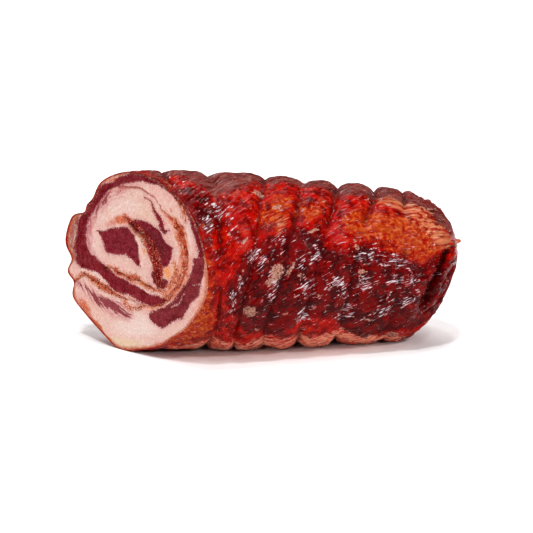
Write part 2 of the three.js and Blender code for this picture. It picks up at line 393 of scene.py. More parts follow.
# %% Points of the casing
turns = np.arange(ROUND) * 360 / ROUND
edge_station, edge_radius = cut_station(turns)
along_body = np.linspace(0, 1, BODY_RINGS)[:, None]
along_nose = np.sin(np.linspace(0, 1, NOSE_RINGS + 1)[1:-1, None] * np.pi / 2)
stations = np.concatenate([mix(edge_station, NOSE_START_X, along_body),
                           mix(NOSE_START_X, TIP_X, along_nose) + 0 * turns])
angles = np.broadcast_to(turns, stations.shape)
skin = skin_point(stations, angles, skin_radius(stations, angles))
skin[0] = around_middle(edge_station, turns, edge_radius, edge_station)

round_way = np.roll(skin, -1, 1) - np.roll(skin, 1, 1)
outward = np.cross(np.gradient(skin, axis=0), round_way)
outward /= np.linalg.norm(outward, axis=-1, keepdims=True)
from_middle = skin - around_middle(stations, angles, 0, skin[..., 0])
outward *= np.sign((outward * from_middle).sum(-1, keepdims=True))
skin = skin + outward * creases(stations, angles)[..., None]
skin[..., 2] = np.maximum(skin[..., 2], 0)
print("casing, mm:", skin.min((0, 1)).round(1), skin.max((0, 1)).round(1))

# %% [markdown]
# At the cut the casing turns in as a thin rim and a shallow dish, which the face of the cut
# fills later. At the knot it runs to a point.

# %% Close the casing
tip_side, tip_up = middle(np.array(float(TIP_X)))
tip = np.array([TIP_X - 0.4, tip_side, tip_up])
CUT_END_STATION = -100.0
_, cut_level = middle(CUT_END_STATION)


def at_cut(radius, deeper=0.0):
    """Points on the slanting cut, or behind it by some millimetres along the roll."""
    a = np.radians(turns)
    right, up = radius * np.cos(a), radius * np.sin(a)
    return np.stack([CUT_X + CUT_SLOPE * right + deeper, -right, cut_level + up], -1)


edge_radius_drawn = np.hypot(skin[0][:, 1], skin[0][:, 2] - cut_level)
rim = at_cut(edge_radius_drawn - RIM_WALL)
dish = at_cut(edge_radius_drawn - RIM_WALL - 0.2, DISH_DEPTH)
casing = close_rings("smoked_casing", np.concatenate([dish[None], rim[None], skin]),
                     [CUT_X + DISH_DEPTH, 0, cut_level], tip)

# %% [markdown]
# ## What shows through the casing
#
# The casing is clear as a lampshade once it has dried: lean under it looks dark maroon, fat
# looks orange where smoke coloured it, and between them the surface glows red. On top it has
# dried dull and brown, underneath it is painted paler, partly its own colour and partly painted
# light against the shade under the roll, and beside the knot lies a tan film. Each is a named
# patch on the skin, given by its corners as station and angle. Spots mark pale flakes, and the
# places where the casing has lifted, where milky flecks of painted glint are laid on. A value in
# millimetres tells each point how deep inside a patch it is, and the finish later makes a ragged
# edge of it.

# %% Patches on the skin
LEAN_PATCHES = {
    "near side": [(-29, -6), (-25, 1), (-18, 9), (-16, 17), (-8, 24), (0, 28), (8, 33), (15, 38),
                  (26, 36), (34, 32), (33, 27), (38, 23), (47, 22), (54, 28), (62, 24), (73, 18),
                  (83, 14), (92, 10), (103, 4), (106, -70), (93, -66), (80, -48), (65, -54),
                  (56, -45), (48, -28), (36, -26), (28, -28), (21, -38), (14, -43), (7, -42),
                  (-1, -38), (-8, -30), (-24, -16)],
    "beside the cut": [(-62, 58), (-40, 62), (-31, 48), (-29, 40), (-33, 32), (-42, 30), (-50, 40)],
    "high on the near side": [(14, 60), (19, 64), (22, 60), (18, 52)],
    "back, cut end": [(-100, 118), (-70, 112), (-44, 122), (-30, 140), (-22, 160), (-40, 178),
                      (-66, 182), (-90, 176), (-104, 160)],
    "back, far end": [(12, 128), (30, 118), (52, 124), (74, 118), (98, 130), (104, 170), (88, 196),
                      (66, 204), (44, 192), (22, 198), (4, 182), (-4, 160)],
    "under": [(-80, 222), (-52, 214), (-30, 226), (-6, 218), (12, 232), (4, 252), (-24, 258), (-60, 250)],
    "under, far end": [(36, 236), (58, 228), (84, 236), (80, 262), (52, 268), (34, 256)],
}
FAT_PATCHES = {
    "long oval": [(38, 49), (45, 56), (55, 54), (69, 53), (83, 48), (90, 36), (93, 24), (88, 17),
                  (81, 16), (74, 19), (66, 24), (58, 29), (49, 32), (42, 36)],
    "first hollow": [(-4, 50), (2, 60), (8, 58), (9, 46), (4, 36), (-3, 33), (-7, 40)],
    "second hollow": [(12, 60), (18, 57), (27, 60), (28, 50), (20, 44), (12, 44)],
    "edge of the cut": [(-62, -62), (-46, -60), (-35, -52), (-34, -32), (-37, -10), (-38, 14), (-44, 20),
                        (-50, 14), (-60, -30)],
    "back": [(-20, 124), (4, 120), (8, 146), (-6, 158), (-20, 148)],
    "back, low": [(-60, 190), (-34, 186), (-20, 196), (-34, 210), (-58, 208)],
    "far back": [(20, 204), (46, 200), (60, 214), (40, 226), (18, 220)],
}
DRY_PATCHES = {
    "along the top": [(-62, 72), (-50, 76), (-40, 64), (-32, 55), (-24, 57), (-14, 66), (-8, 75),
                      (4, 77), (14, 80), (24, 76), (38, 69), (60, 68), (74, 66), (85, 58), (92, 47),
                      (101, 34), (106, 60), (104, 110), (80, 116), (50, 108), (20, 120), (-10, 108),
                      (-40, 118),
                      (-64, 104)],
    "on the back": [(-70, 148), (-30, 152), (10, 160), (0, 168), (-40, 162), (-72, 160)]}
TAN_PATCHES = {
    "over the long oval": [(50, 66), (60, 60), (72, 56), (79, 47), (84, 38), (88, 26), (98, 20),
                           (100, 34),
                           (95, 50), (88, 62), (77, 68), (62, 72)],
    "below the hollows": [(-2, 44), (6, 34), (10, 38), (4, 46)],
    "on the far side": [(-30, 132), (10, 126), (40, 130), (44, 138), (0, 136), (-32, 142)]}
# Paler underneath: partly the casing's own colour, partly painted light that makes up for the shade under the
# roll.
PALE_PATCHES = {
    "along the bottom": [(-58, -76), (-36, -57), (-18, -54), (-2, -56), (8, -50), (22, -48), (36, -50),
                         (46, -44), (52, -41), (60, -48), (70, -54), (78, -60), (82, -70), (60, -84),
                         (20, -96), (-30, -92)],
    "low on the back": [(-84, 204), (-60, 206), (-20, 212), (20, 214), (60, 222), (50, 232), (0, 226),
                        (-50, 220), (-86, 216)]}
PALE_SPOTS = [(10, 8, 3.8, 4.2, 20), (17, 10, 1, 3.8, -20), (7, 2, 2.6, 2, 30), (-1, -19, 5.2, 3.2, -5),
              (7, -38, 1.6, 1.3, 0), (-9, 62, 3.0, 2.1, 10), (-26, 29, 1.0, 0.8, 0),
              (48, 30, 1.4, 0.9, 10), (50, 26, 1.9, 1.2, -30), (56, 9, 1.8, 1.2, 10),
              (-15, 25, 2.6, 0.9, 40), (22, 6, 0.9, 0.9, 0), (24, 35, 3.0, 0.9, 25),
              (76, -55, 2.5, 4.0, 10), (20, -22, 1.6, 1.1, 0), (36, -8, 1.1, 0.8, 0),
              (2, 50, 2.6, 1.6, 25), (-14, 8, 1.0, 0.8, 0), (64, -30, 1.3, 0.9, 0),
              (-16, 4, 0.8, 0.8, 0), (30, 150, 3.2, 2.2, 20), (-10, 176, 2.8, 2.0, -15),
              (60, 110, 2.5, 1.6, 10), (-55, 150, 2.0, 2.6, 0), (-36, 232, 3.0, 2.0, 10),
              (44, 244, 2.6, 2.4, 0), (0, 208, 3.2, 1.8, 30)]
# Spots where the casing has lifted; the finish paints milky flecks there, partly pale film and partly painted
# glints.
LIFTED_GLINT_SPOTS = [(-31, 44, 6, 7, 30), (-37, 36, 5, 6, 30), (9, -2, 3.5, 9, 0), (28, -2, 5, 5, 20),
                (31, -25, 4, 6, 10), (43, 1, 6, 4, 20), (29, 19, 3, 5, 0), (-21, -8, 4, 7, 20),
                (-7, 18, 6, 4, 30), (-21, -21, 3, 4, 0), (58, 20, 7, 4, 0), (58, 0, 6, 4, 20),
                (70, 16, 6, 4, 0), (74, 2, 6, 4, 0), (76, -13, 6, 5, 0), (50, -6, 4, 5, 10),
                (52, -22, 5, 5, 0), (70, -21, 5, 5, 0), (0, 14, 3, 4, 30), (9, 28, 2.5, 4, 0),
                (21, 14, 4, 4, 20), (-16, 0, 3, 5, 30), (-40, 150, 8, 6, 0), (0, 140, 7, 7, 20),
                (40, 160, 8, 6, 10), (70, 130, 7, 6, 0), (-10, 220, 7, 6, 0), (50, 235, 7, 6, 0)]

print("drawn on the skin:", len(LEAN_PATCHES), "patches of lean,", len(FAT_PATCHES), "of fat,",
      len(PALE_SPOTS), "spots of flakes")

# %% [markdown]
# A point counts the edges of a shape that it would cross on its way out: an odd number means
# that it is inside. Its depth is how far it is from the nearest edge. A patch is measured on
# the skin laid flat, and a spot is an ellipse.

# %% Depth in a patch or a spot
FLAT_RADIUS = 46


def depth_inside(x, y, corners):
    """How far inside a drawn shape each point is, in the drawing's unit; below zero outside it."""
    corners = np.asarray(corners, float)[:, :2]
    nearest = np.full(np.shape(x), np.inf)
    inside = np.zeros(np.shape(x), bool)
    for (ax, ay), (bx, by) in zip(corners, np.roll(corners, -1, 0)):
        dx, dy = bx - ax, by - ay
        t = np.clip(((x - ax) * dx + (y - ay) * dy) / (dx * dx + dy * dy + 1e-12), 0, 1)
        nearest = np.minimum(nearest, (x - ax - t * dx) ** 2 + (y - ay - t * dy) ** 2)
        crosses = (ay > y) != (by > y)
        with np.errstate(divide="ignore", invalid="ignore"):
            inside ^= crosses & (x < ax + (y - ay) * dx / (dy if dy else 1e-12))
    return np.sqrt(nearest) * np.where(inside, 1, -1)


def patch_depth(s, angle, patches):
    """Depth inside the nearest of several skin patches, mm, with the ring's turns laid flat."""
    per_degree = np.pi * FLAT_RADIUS / 180
    depth = np.full(s.shape, -99.0)
    for corners in patches.values():
        flat = [(x, y * per_degree) for x, y in corners]
        for turn in (0, -360):
            depth = np.maximum(depth, depth_inside(s, (angle + turn) * per_degree, flat))
    return np.clip(depth, -12, 12)


def spot_depth(s, angle, spots):
    """1 in the middle of each spot and 0 at its edge, with ragged outlines."""
    best = np.full(s.shape, -9.0)
    wx, wy = s + 0.9 * noise(s / 2, angle / 2.5, 5.0), angle + 1.1 * noise(s / 2, angle / 2.5, 9.0)
    for x, y, half_x, half_y, tilt in spots:
        t = np.radians(tilt)
        dx, dy = wx - x, ((wy - y + 180) % 360 - 180) * 0.8
        a, b = dx * np.cos(t) + dy * np.sin(t), dy * np.cos(t) - dx * np.sin(t)
        best = np.maximum(best, 1 - np.hypot(a / half_x, b / half_y))
    return np.clip(best, -1, 1)


square = [(0, 0), (9, 0), (9, 9), (0, 9)]
print("a point 3 mm inside a square has a depth of", depth_inside(3.0, 5.0, square))

# %% [markdown]
# The finish reads these values from the points of the casing. Its rim and dish come before
# the skin in the list of points, and the two middles after it, so they get values too.

# %% Values for the casing's finish
flat_s, flat_a = stations.ravel(), angles.ravel()
lead = 2 * ROUND
SKIN_VALUES = {"lean_under": (LEAN_PATCHES, -6.0), "fat_under": (FAT_PATCHES, 3.0),
               "dry_top": (DRY_PATCHES, -9.0), "pale_under": (PALE_PATCHES, -9.0),
               "tan_film": (TAN_PATCHES, -9.0)}


def whole(values, edge):
    """Values of the skin's grid, with the rim and the dish before them and the two middles after."""
    one = values.reshape(len(flat_s), -1)
    head = np.tile(one[:ROUND], (2, 1)) if edge is None else np.full((lead, one.shape[1]), edge)
    return np.concatenate([head, one, one[:1], one[-1:]]).squeeze()


for name, (patches, at_rim) in SKIN_VALUES.items():
    depth = patch_depth(flat_s, flat_a, patches)
    store(casing, name, whole(depth, at_rim))
    print(name, "covers", round(float((depth > 0).mean()), 2), "of the skin")
for name, spots in (("pale_spot", PALE_SPOTS), ("lifted", LIFTED_GLINT_SPOTS)):
    store(casing, name, whole(spot_depth(flat_s, flat_a, spots), -1.0))
# The thin line of each tie, where the finish darkens the colour.
store(casing, "tie_mark", whole(ties(flat_s, flat_a)[1], 0.0))
fold_away, fold_there = knot_fold_place(flat_s, flat_a)
# Where the knot's deep fold lies; the finish paints shade there.
store(casing, "in_fold", whole(fold_there * np.exp(-(fold_away / 2.2) ** 2), 0.0))
store(casing, "skin_place", whole(skin_place(flat_s, flat_a), None))

# %% [markdown]
# ## A finish is a tree of nodes
#
# These helpers only shorten the writing: `Finish` holds one material, and each call adds a
# node and hands back the socket to plug in next.

# %% Helpers for finishes
class Finish:
    def __init__(self, name):
        self.material = bpy.data.materials.new(name)
        self.material.use_nodes = True
        self.tree = self.material.node_tree
        self.surface = self.tree.nodes["Principled BSDF"]

    def feed(self, socket, value):
        if isinstance(value, bpy.types.NodeSocket):
            self.tree.links.new(value, socket)
        elif hasattr(socket.default_value, "__len__") and np.ndim(value):
            value = tuple(map(float, value))
            socket.default_value = value + (1.0,) * (len(socket.default_value) - len(value))
        else:
            socket.default_value = value

    def add(self, kind, feeds, **settings):
        node = self.tree.nodes.new(kind)
        for name, value in settings.items():
            setattr(node, name, value)
        for name, value in feeds.items():
            self.feed(node.inputs[name], value)
        return node

    def read(self, name, output="Fac"):
        return self.add("ShaderNodeAttribute", {}, attribute_name=name).outputs[output]

    def mapped(self, vector, scale, offset=(0, 0, 0)):
        feeds = {"Vector": vector, "Scale": scale, "Location": offset}
        return self.add("ShaderNodeMapping", feeds).outputs[0]

    def millimetres(self):
        """The place on the piece, in millimetres."""
        place = self.add("ShaderNodeTexCoord", {}).outputs["Object"]
        return self.mapped(place, (PER_METRE, PER_METRE, PER_METRE))

    def noise(self, vector, scale, detail=2.0, rough=0.5, bent=0.0):
        feeds = {"Vector": vector, "Scale": scale, "Detail": detail, "Roughness": rough, "Distortion": bent}
        return self.add("ShaderNodeTexNoise", feeds).outputs["Fac"]

    def math(self, operation, a, b=0.0, c=0.0):
        return self.add("ShaderNodeMath", {0: a, 1: b, 2: c}, operation=operation).outputs[0]

    def step(self, value, start, end, low=0.0, high=1.0):
        """Eases from low to high as value goes from start to end."""
        feeds = {"Value": value, "From Min": start, "From Max": end, "To Min": low, "To Max": high}
        return self.add("ShaderNodeMapRange", feeds, interpolation_type="SMOOTHSTEP").outputs["Result"]

    def ragged(self, name, *pushes):
        """A stored depth, mm, with its edge pushed in and out by noises, each by some millimetres."""
        depth = self.read(name)
        for noise, amount in pushes:
            push = self.math("MULTIPLY_ADD", noise, 2 * amount, -amount)
            depth = self.math("ADD", depth, push)
        return depth

    def away_from_half(self, noise):
        return self.math("ABSOLUTE", self.math("SUBTRACT", noise, 0.5))

    def blend(self, share, a, b):
        node = self.add("ShaderNodeMix", {}, data_type="RGBA")
        for index, value in ((0, share), (6, a), (7, b)):
            self.feed(node.inputs[index], value)
        return node.outputs[2]

    def bump(self, height, distance, under=None):
        feeds = {"Height": height, "Distance": distance}
        if under:
            feeds["Normal"] = under
        return self.add("ShaderNodeBump", feeds).outputs["Normal"]

    def set(self, **sockets):
        for name, value in sockets.items():
            self.feed(self.surface.inputs[name.replace("_", " ")], value)


print("a painter's dark red as light:", paint(104, 4, 4).round(4))

# %% [markdown]
# ## The casing's finish
#
# The casing is clear, so its colour comes from what lies under it: red where thin fat and
# lean lie mixed, orange over thick fat, maroon over lean. Each patch gets a ragged edge by
# adding noise to its depth before it is turned into a mask, so the edge is finer than the
# mesh. Blobs of colour stay with the piece, while streaks and lines follow the twisted skin.

# %% What lies under the casing
def casing_noises(f):
    """Random values, from broad to small, and three that follow the twisted skin."""
    f.here, f.place = f.millimetres(), f.read("skin_place", "Vector")
    f.broad, f.cloudy = f.noise(f.here, 0.07, 2), f.noise(f.here, 0.17, 3, 0.55)
    f.patchy, f.small = f.noise(f.here, 0.32, 3, 0.6), f.noise(f.here, 1.0, 3, 0.6)
    f.fine = f.noise(f.place, 3.0, 2)
    f.streaks = f.noise(f.mapped(f.place, (0.12, 0.85, 0.85)), 1.0, 4, 0.62)
    f.lines = f.noise(f.mapped(f.place, (0.05, 0.55, 0.55), (3, 1, 4)), 1.0, 2, 0.5)


def mixed_meat(f):
    red = f.blend(f.step(f.cloudy, 0.4, 0.58), paint(112, 5, 3), paint(164, 13, 4))
    red = f.blend(f.step(f.patchy, 0.54, 0.62, 0, 0.6), red, paint(182, 46, 14))
    return f.blend(f.step(f.patchy, 0.43, 0.34, 0, 0.7), red, paint(84, 4, 4))


def smoked_fat(f):
    blotch = f.noise(f.here, 0.5, 3, 0.5, 0.4)
    orange = f.blend(f.step(f.patchy, 0.4, 0.56), paint(146, 24, 6), paint(160, 58, 16))
    orange = f.blend(f.step(f.cloudy, 0.52, 0.62, 0, 0.7), orange, paint(160, 74, 24))
    orange = f.blend(f.step(blotch, 0.53, 0.62, 0, 0.6), orange, paint(204, 106, 46))
    orange = f.blend(f.step(blotch, 0.46, 0.38, 0, 0.8), orange, paint(150, 18, 6))
    return f.blend(f.step(f.lines, 0.42, 0.34, 0, 0.6), orange, paint(120, 12, 6))


def dark_lean(f):
    maroon = f.blend(f.step(f.cloudy, 0.4, 0.6), paint(68, 2, 4), paint(112, 4, 4))
    return f.blend(f.step(f.patchy, 0.57, 0.65, 0, 0.7), maroon, paint(148, 10, 5))


def seen_through(f):
    """The meat's colour as it shows through the clear casing."""
    fat_edge = f.ragged("fat_under", (f.cloudy, 9.0), (f.small, 4.0))
    lean_edge = f.ragged("lean_under", (f.patchy, 7.0), (f.small, 2.5))
    colour = f.blend(f.step(fat_edge, -1.5, 3.0, 0, 0.9), mixed_meat(f), smoked_fat(f))
    return f.blend(f.step(lean_edge, -0.8, 1.0), colour, dark_lean(f))


print("red under the casing, as light:", paint(112, 5, 3).round(3), "to", paint(164, 13, 4).round(3))

# %% [markdown]
# On top of the roll the casing has dried dull and brown; underneath it is painted paler, partly
# its own colour and partly painted light against the shade under the roll; and inside the fold
# by the knot it is painted dark, as painted shade. These are washes over the first colour.

# %% Dried and pale casing
def dried_and_pale(f, colour):
    """The colour with its dry places, its paler underside (partly painted light) and the painted shade in the
    knot's fold, and how dry each place is.
    """
    dry = f.step(f.ragged("dry_top", (f.cloudy, 8.0), (f.streaks, 7.0)), -1.2, 2.4)
    dull = f.blend(f.step(f.lines, 0.36, 0.62), paint(70, 24, 24), paint(118, 70, 66))
    dull = f.blend(f.step(f.streaks, 0.54, 0.66, 0, 0.6), dull, paint(158, 118, 108))
    dull = f.blend(f.step(f.patchy, 0.54, 0.64, 0, 0.6), dull, paint(112, 30, 22))
    colour = f.blend(f.math("MULTIPLY", dry, 0.85), colour, dull)
    # Paler underneath, partly as painted light against the shade under the roll.
    under_edge = f.ragged("pale_under", (f.patchy, 9.0), (f.streaks, 6.0))
    pale = f.blend(f.step(f.streaks, 0.4, 0.54), paint(200, 64, 50), paint(238, 162, 134))
    pale = f.blend(f.step(f.patchy, 0.57, 0.65, 0, 0.7), pale, paint(150, 24, 18))
    colour = f.blend(f.step(under_edge, -1.5, 2.5, 0, 0.85), colour, pale)
    # Painted shade: inside the deep fold by the knot the colour goes dark.
    return f.blend(f.step(f.read("in_fold"), 0.15, 0.8, 0, 0.85), colour, paint(62, 3, 5)), dry


print("dry casing, as light:", paint(70, 24, 24).round(3), "to", paint(118, 70, 66).round(3))

# %% [markdown]
# In places the casing is a film of its own: tan and streaked beside the knot, and lifted off
# the meat in small creases, where milky flecks and a grey veil are painted on, partly the pale
# film and partly painted glints and sheen. Along the thin line of each tie the colour is darker,
# and flakes of dried fat cling to the outside.

# %% Film with painted glints, dark tie lines and flakes
def film_glints_and_tie_lines(f, colour):
    tan_edge = f.ragged("tan_film", (f.streaks, 9.0))
    tan = f.blend(f.step(f.lines, 0.4, 0.6), paint(140, 30, 14), paint(192, 120, 82))
    tan = f.blend(f.step(f.streaks, 0.56, 0.64, 0, 0.6), tan, paint(222, 176, 142))
    colour = f.blend(f.step(tan_edge, -1.0, 2.5, 0, 0.8), colour, tan)
    # Milky flecks: partly pale lifted film, partly painted glints where the creases would catch the lamps.
    glint_flecks = f.noise(f.mapped(f.place, (0.27, 1.05, 1.05), (5, 2, 9)), 1.0, 2, 0.6, 0.7)
    lifted = f.ragged("lifted", (f.patchy, 2.4))
    film_glint = f.math("MULTIPLY_ADD", f.step(lifted, -0.5, 0.9), 0.16, glint_flecks)
    milky_glints = f.blend(f.step(film_glint, 0.68, 0.77), paint(150, 118, 120), paint(226, 220, 226))
    # A grey veil over the lifted spots: partly the film, partly painted sheen.
    colour = f.blend(f.step(lifted, 0.0, 1.6, 0, 0.14), colour, paint(150, 104, 108))
    colour = f.blend(f.step(film_glint, 0.66, 0.7, 0, 0.8), colour, milky_glints)
    # The colour is darker along the thin line of each tie.
    dark_tie_line = f.math("MULTIPLY", f.read("tie_mark"), f.step(f.small, 0.35, 0.6, 0.2, 0.9))
    return f.blend(dark_tie_line, colour, paint(58, 4, 5))


def flakes(f, colour):
    """The colour with its flakes, and where the flakes are."""
    loose = f.step(f.ragged("pale_spot", (f.small, 0.7)), -0.05, 0.2)
    specks = f.step(f.noise(f.here, 0.62, 2, 0.4), 0.7, 0.74)
    loose = f.math("MAXIMUM", loose, f.math("MULTIPLY", specks, 0.8))
    flake = f.blend(f.step(f.small, 0.4, 0.56), paint(122, 66, 56), paint(178, 134, 118))
    flake = f.blend(f.step(f.fine, 0.5, 0.64, 0, 0.4), flake, paint(206, 172, 154))
    return f.blend(f.math("MULTIPLY", loose, 0.85), colour, flake), loose


print("lifted film, as light:", paint(150, 118, 120).round(3), "to", paint(226, 220, 226).round(3))

# %% [markdown]
# A dried casing is as smooth as varnish over the duller meat, so a clear coat gives the wet
# gloss and its own bumps give the glints. The coat bends light only a little, which keeps the
# dark places clean, because it mirrors little of the white table. Some light sinks in and
# comes back red.

# %% Smoked casing
COAT_BUMP, MEAT_BUMP = 0.0022, 0.0004


def fine_creases(f):
    folds = f.noise(f.mapped(f.place, (0.1, 0.3, 0.3), (7, 3, 1)), 1.0, 1, 0.4)
    hair = f.noise(f.mapped(f.place, (0.2, 0.7, 0.7)), 1.0, 0, 0.4)
    height = f.math("MULTIPLY", f.away_from_half(folds), -1.0)
    height = f.math("MULTIPLY_ADD", f.away_from_half(hair), -0.3, height)
    return f.math("MULTIPLY", height, f.step(f.broad, 0.4, 0.6, 0.6, 1.2))


def smoked_casing():
    f = Finish("smoked casing")
    casing_noises(f)
    colour, dry = dried_and_pale(f, seen_through(f))
    colour, loose = flakes(f, film_glints_and_tie_lines(f, colour))
    height = fine_creases(f)
    dullness = f.math("MAXIMUM", f.math("MULTIPLY", dry, 0.6), loose)
    f.set(Base_Color=colour, Roughness=0.6, Normal=f.bump(height, MEAT_BUMP), Specular_IOR_Level=0.0,
          Subsurface_Weight=0.1, Subsurface_Radius=(1, 0.2, 0.1), Subsurface_Scale=0.0012,
          Coat_Weight=f.step(dullness, 0, 1, 1.0, 0.5), Coat_Roughness=0.06, Coat_IOR=1.22,
          Coat_Normal=f.bump(height, COAT_BUMP))
    return f.material


casing.data.materials.append(smoked_casing())
print("finish:", casing.data.materials[0].name, len(casing.data.materials[0].node_tree.nodes), "nodes")

# %% [markdown]
# ## The cut face
#
# The knife went through fat and lean that were wound round each other, so the drawing of
# the face is the heart of the piece. It is drawn as the butcher would: bands and shapes of
# lean, lines of spice where one turn lies on the next, and stains of smoke and chilli. The
# drawing's origin is the roll's middle; right and up are as seen from in front of the cut.

# %% Lean on the cut: bands as right, up, thickness; outlines as right, up
OUTER_RING = [(44.8, 13, 3.6), (44.6, 18, 5.4), (43.4, 22.7, 5.4), (41.2, 28, 4.8), (38.4, 34, 4.4),
              (34, 38.8, 4.2), (29, 42.4, 4), (24.4, 45.6, 4), (20, 47.2, 4.4), (15.3, 48, 4.6),
              (10, 48.6, 5), (4, 48.7, 5.4),
              (-0.7, 47.7, 5), (-6, 45.3, 4), (-10, 43.7, 4), (-14, 41.6, 3.2), (-18, 39.6, 5),
              (-22, 36.3, 5.5), (-25.6, 32.4, 6), (-28.9, 28.4, 6), (-32, 24, 6.2), (-34.7, 18.7, 6.5),
              (-36.3, 13.3, 7.2), (-37, 8, 8), (-36.4, 3, 9), (-35.4, -1.3, 11), (-35.6, -4.4, 7)]
DIAGONAL_BAND = [(-37, -3, 8), (-33, -3.2, 9), (-28, -3.6, 8.4), (-20.7, -7, 7), (-14, -11, 8.6),
                 (-6, -12.6, 7.2), (1, -13.8, 6.3), (8, -16, 7.2), (14, -16, 5.6), (20.5, -14.7, 2.4)]
LOWER_BLOCK = [(40, 10.7), (43.5, 12), (47, 12.7), (46.9, 9.3), (46, 4), (45.3, -0.7), (44.3, -4),
               (42.7, -8), (40, -11.3), (37.3, -15.3), (34.7, -18.7), (32, -22), (28, -24.7), (24, -27.3),
               (20, -29.7), (16.7, -30), (12.7, -28.3), (10, -26), (10.7, -23.3), (16, -20.7),
               (19.3, -18.7), (24.7, -16), (28, -12.7), (30.7, -8.7), (32.7, -6), (35.3, -2.7),
               (37.3, 2), (39.3, 5.3)]
HEART_LEFT = [(-24.7, 14.7), (-20, 16), (-16.7, 17.3), (-11.3, 18.7), (-6, 20), (-2.7, 19.7), (1.3, 16.7),
              (1.3, 14.7), (3.3, 12), (3.7, 8), (4.7, 4), (5.5, 0.7), (2.7, 1.3), (-0.7, 3.3), (-4, 5),
              (-8, 5.2), (-12.7, 4.7), (-18, 4), (-20, 5), (-20.7, 9.3), (-22.7, 12.7)]
HEART_RIGHT = [(-2.7, 24), (1.3, 25), (4.7, 25.7), (8, 25.3), (12.7, 24.7), (16, 23.3), (18.7, 21.3),
               (20, 18.7), (22.7, 16), (27, 14.1), (26, 12), (25.3, 8), (23.3, 4.7), (20, 2.7),
               (18.7, 5.3),
               (16.7, 9.3), (13.3, 11.3), (11.3, 14.7), (8, 18.7), (4.7, 20.7), (0, 20.7), (-2.7, 22)]
HEART_TIP = [(12.7, -0.7), (12, -4), (14, -6.7), (16.7, -8.3), (20.7, -8.7), (24, -4), (20, -3.3),
             (16.7, 0), (14.7, 0.7)]
UPPER_STREAK = [(8, 38.7, 0.3), (12.7, 36, 0.8), (14.7, 32.7, 1.8), (16.7, 30, 2.2), (18.7, 27.3, 3.2),
                (19.3, 24, 2.8), (21.3, 21.7, 2.2), (24, 22.9, 0.8)]
INNER_STREAK = [(-24.7, 25.3, 1), (-22, 30, 2), (-17.3, 34.7, 2.2), (-14, 36.7, 1.8), (-8.7, 38.7, 1.2)]
FEATHERY_LEAN = [(-40, -16.7, 0.6), (-33, -18.5, 1.6), (-28, -21.5, 4), (-23, -23.5, 6),
                 (-17, -24.5, 6.6), (-11, -26, 6.4), (-6, -27, 4), (-3, -27, 1)]
print("drawn in lean:", len(OUTER_RING), "points of the ring,", len(LOWER_BLOCK), "of the lower block")

# %% [markdown]
# Between the layers lie ground spice, thin red lines of lean and pale lines of fat. A stain
# is an ellipse, given by its middle, its two half widths, its turn in degrees and its
# strength. An opening is a crevice, given as a band and its depth.

# %% Lines, stains and openings on the cut
SPICE_ZONE = [(20, 32.5, 1.2), (24.5, 30.2, 3.4), (29, 27, 6), (31.8, 21.5, 7), (33.6, 16, 6.5),
              (34.4, 11, 6.3), (34, 5, 7), (32.3, 0, 8), (29.5, -5.5, 8.3), (25.6, -10.5, 7),
              (21.5, -14, 5), (18, -17, 3.2), (12, -20.2, 2.2), (6, -20.8, 1.4)]
SPICE_HEAPS = [(25.8, 29.6, 2.2, 1.1, -25, 0.9), (29, 26, 2.2, 3, 20, 0.9),
               (32.8, 26.2, 2, 1.8, 0, 0.8), (31.6, 21.8, 2.2, 4.2, 12, 1),
               (34, 17.6, 1.6, 3.6, 5, 0.9), (35, 12.8, 1.5, 3.6, 0, 0.9),
               (34.2, 7.4, 1.2, 2.6, 0, 0.7), (-11, -5.4, 4.4, 1, -12, 0.9),
               (-4, -6.4, 2.4, 0.8, 0, 0.7), (10, -9.6, 3, 0.7, -15, 0.7), (-19, -15, 5, 1.1, -18, 0.7),
               (-31, -12.2, 4, 0.9, -10, 0.7), (25, -13, 3.4, 1.2, 42, 0.7),
               (16, -18.4, 3.2, 0.9, 18, 0.8), (1.6, 20.6, 3.2, 1.6, -38, 0.7)]
SPICE_LINES = [
    [(-41.3, -15.3, 0.8), (-37.3, -11.7, 1.2), (-32, -11.3, 2.3), (-26, -13.3, 3), (-22, -15.3, 3.2),
     (-18, -17, 2), (-14, -17.3, 2), (-10.7, -17.7, 1.2), (-6.5, -18.5, 0.8)],
    [(-18.7, -4.7, 0.6), (-14, -4, 1), (-10.7, -5, 2), (-6, -6, 2), (-2, -6.7, 3), (3.3, -6.7, 2.5),
     (6, -8.3, 1.6), (10, -9.7, 1), (14, -10.3, 0.8), (18, -9.7, 1.4), (19.3, -9, 0.8)],
    [(-5, 25.5, 1.2), (0, 22.5, 3), (5.5, 18.7, 4.4), (9, 15.7, 5.4), (11.4, 12.3, 5.8), (13.7, 9, 6),
     (15.5, 5, 6), (17, 0.5, 5.6), (17.8, -3.5, 4), (17.5, -7, 2)],
    [(30, 41, 0.6), (32.5, 37.5, 0.9), (34.5, 34, 1), (35.5, 30, 0.7)],
    [(-6, -20, 0.9), (-5.7, -22, 0.9), (-2.7, -23.7, 0.9), (1.3, -22.7, 0.8), (6, -20.7, 0.7)],
    [(27.7, 6.7, 0.5), (28.7, 3.3, 0.6), (28, -0.7, 0.7), (25.3, -4.7, 0.7), (22.7, -8, 0.6),
     (20, -10.7, 0.4)],
    [(-41.5, 9, 0.4), (-41.8, 3, 0.5)]]
RED_LINES = [
    [(-20.7, 36.7, 0.8), (-16.7, 38.7, 1.1), (-11.3, 41, 1.2), (-6, 41.7, 1.2), (-0.7, 42.3, 1.2),
     (4.7, 42.7, 1), (10, 41.3, 0.6), (12.7, 39.7, 0.6), (16, 38, 0.6), (18.7, 35.3, 0.5),
     (20, 33.3, 0.5),
     (24.7, 30.7, 0.5)],
    [(-26, 22, 0.4), (-25, 27, 0.5), (-20, 33, 0.6), (-14, 38, 0.4)]]
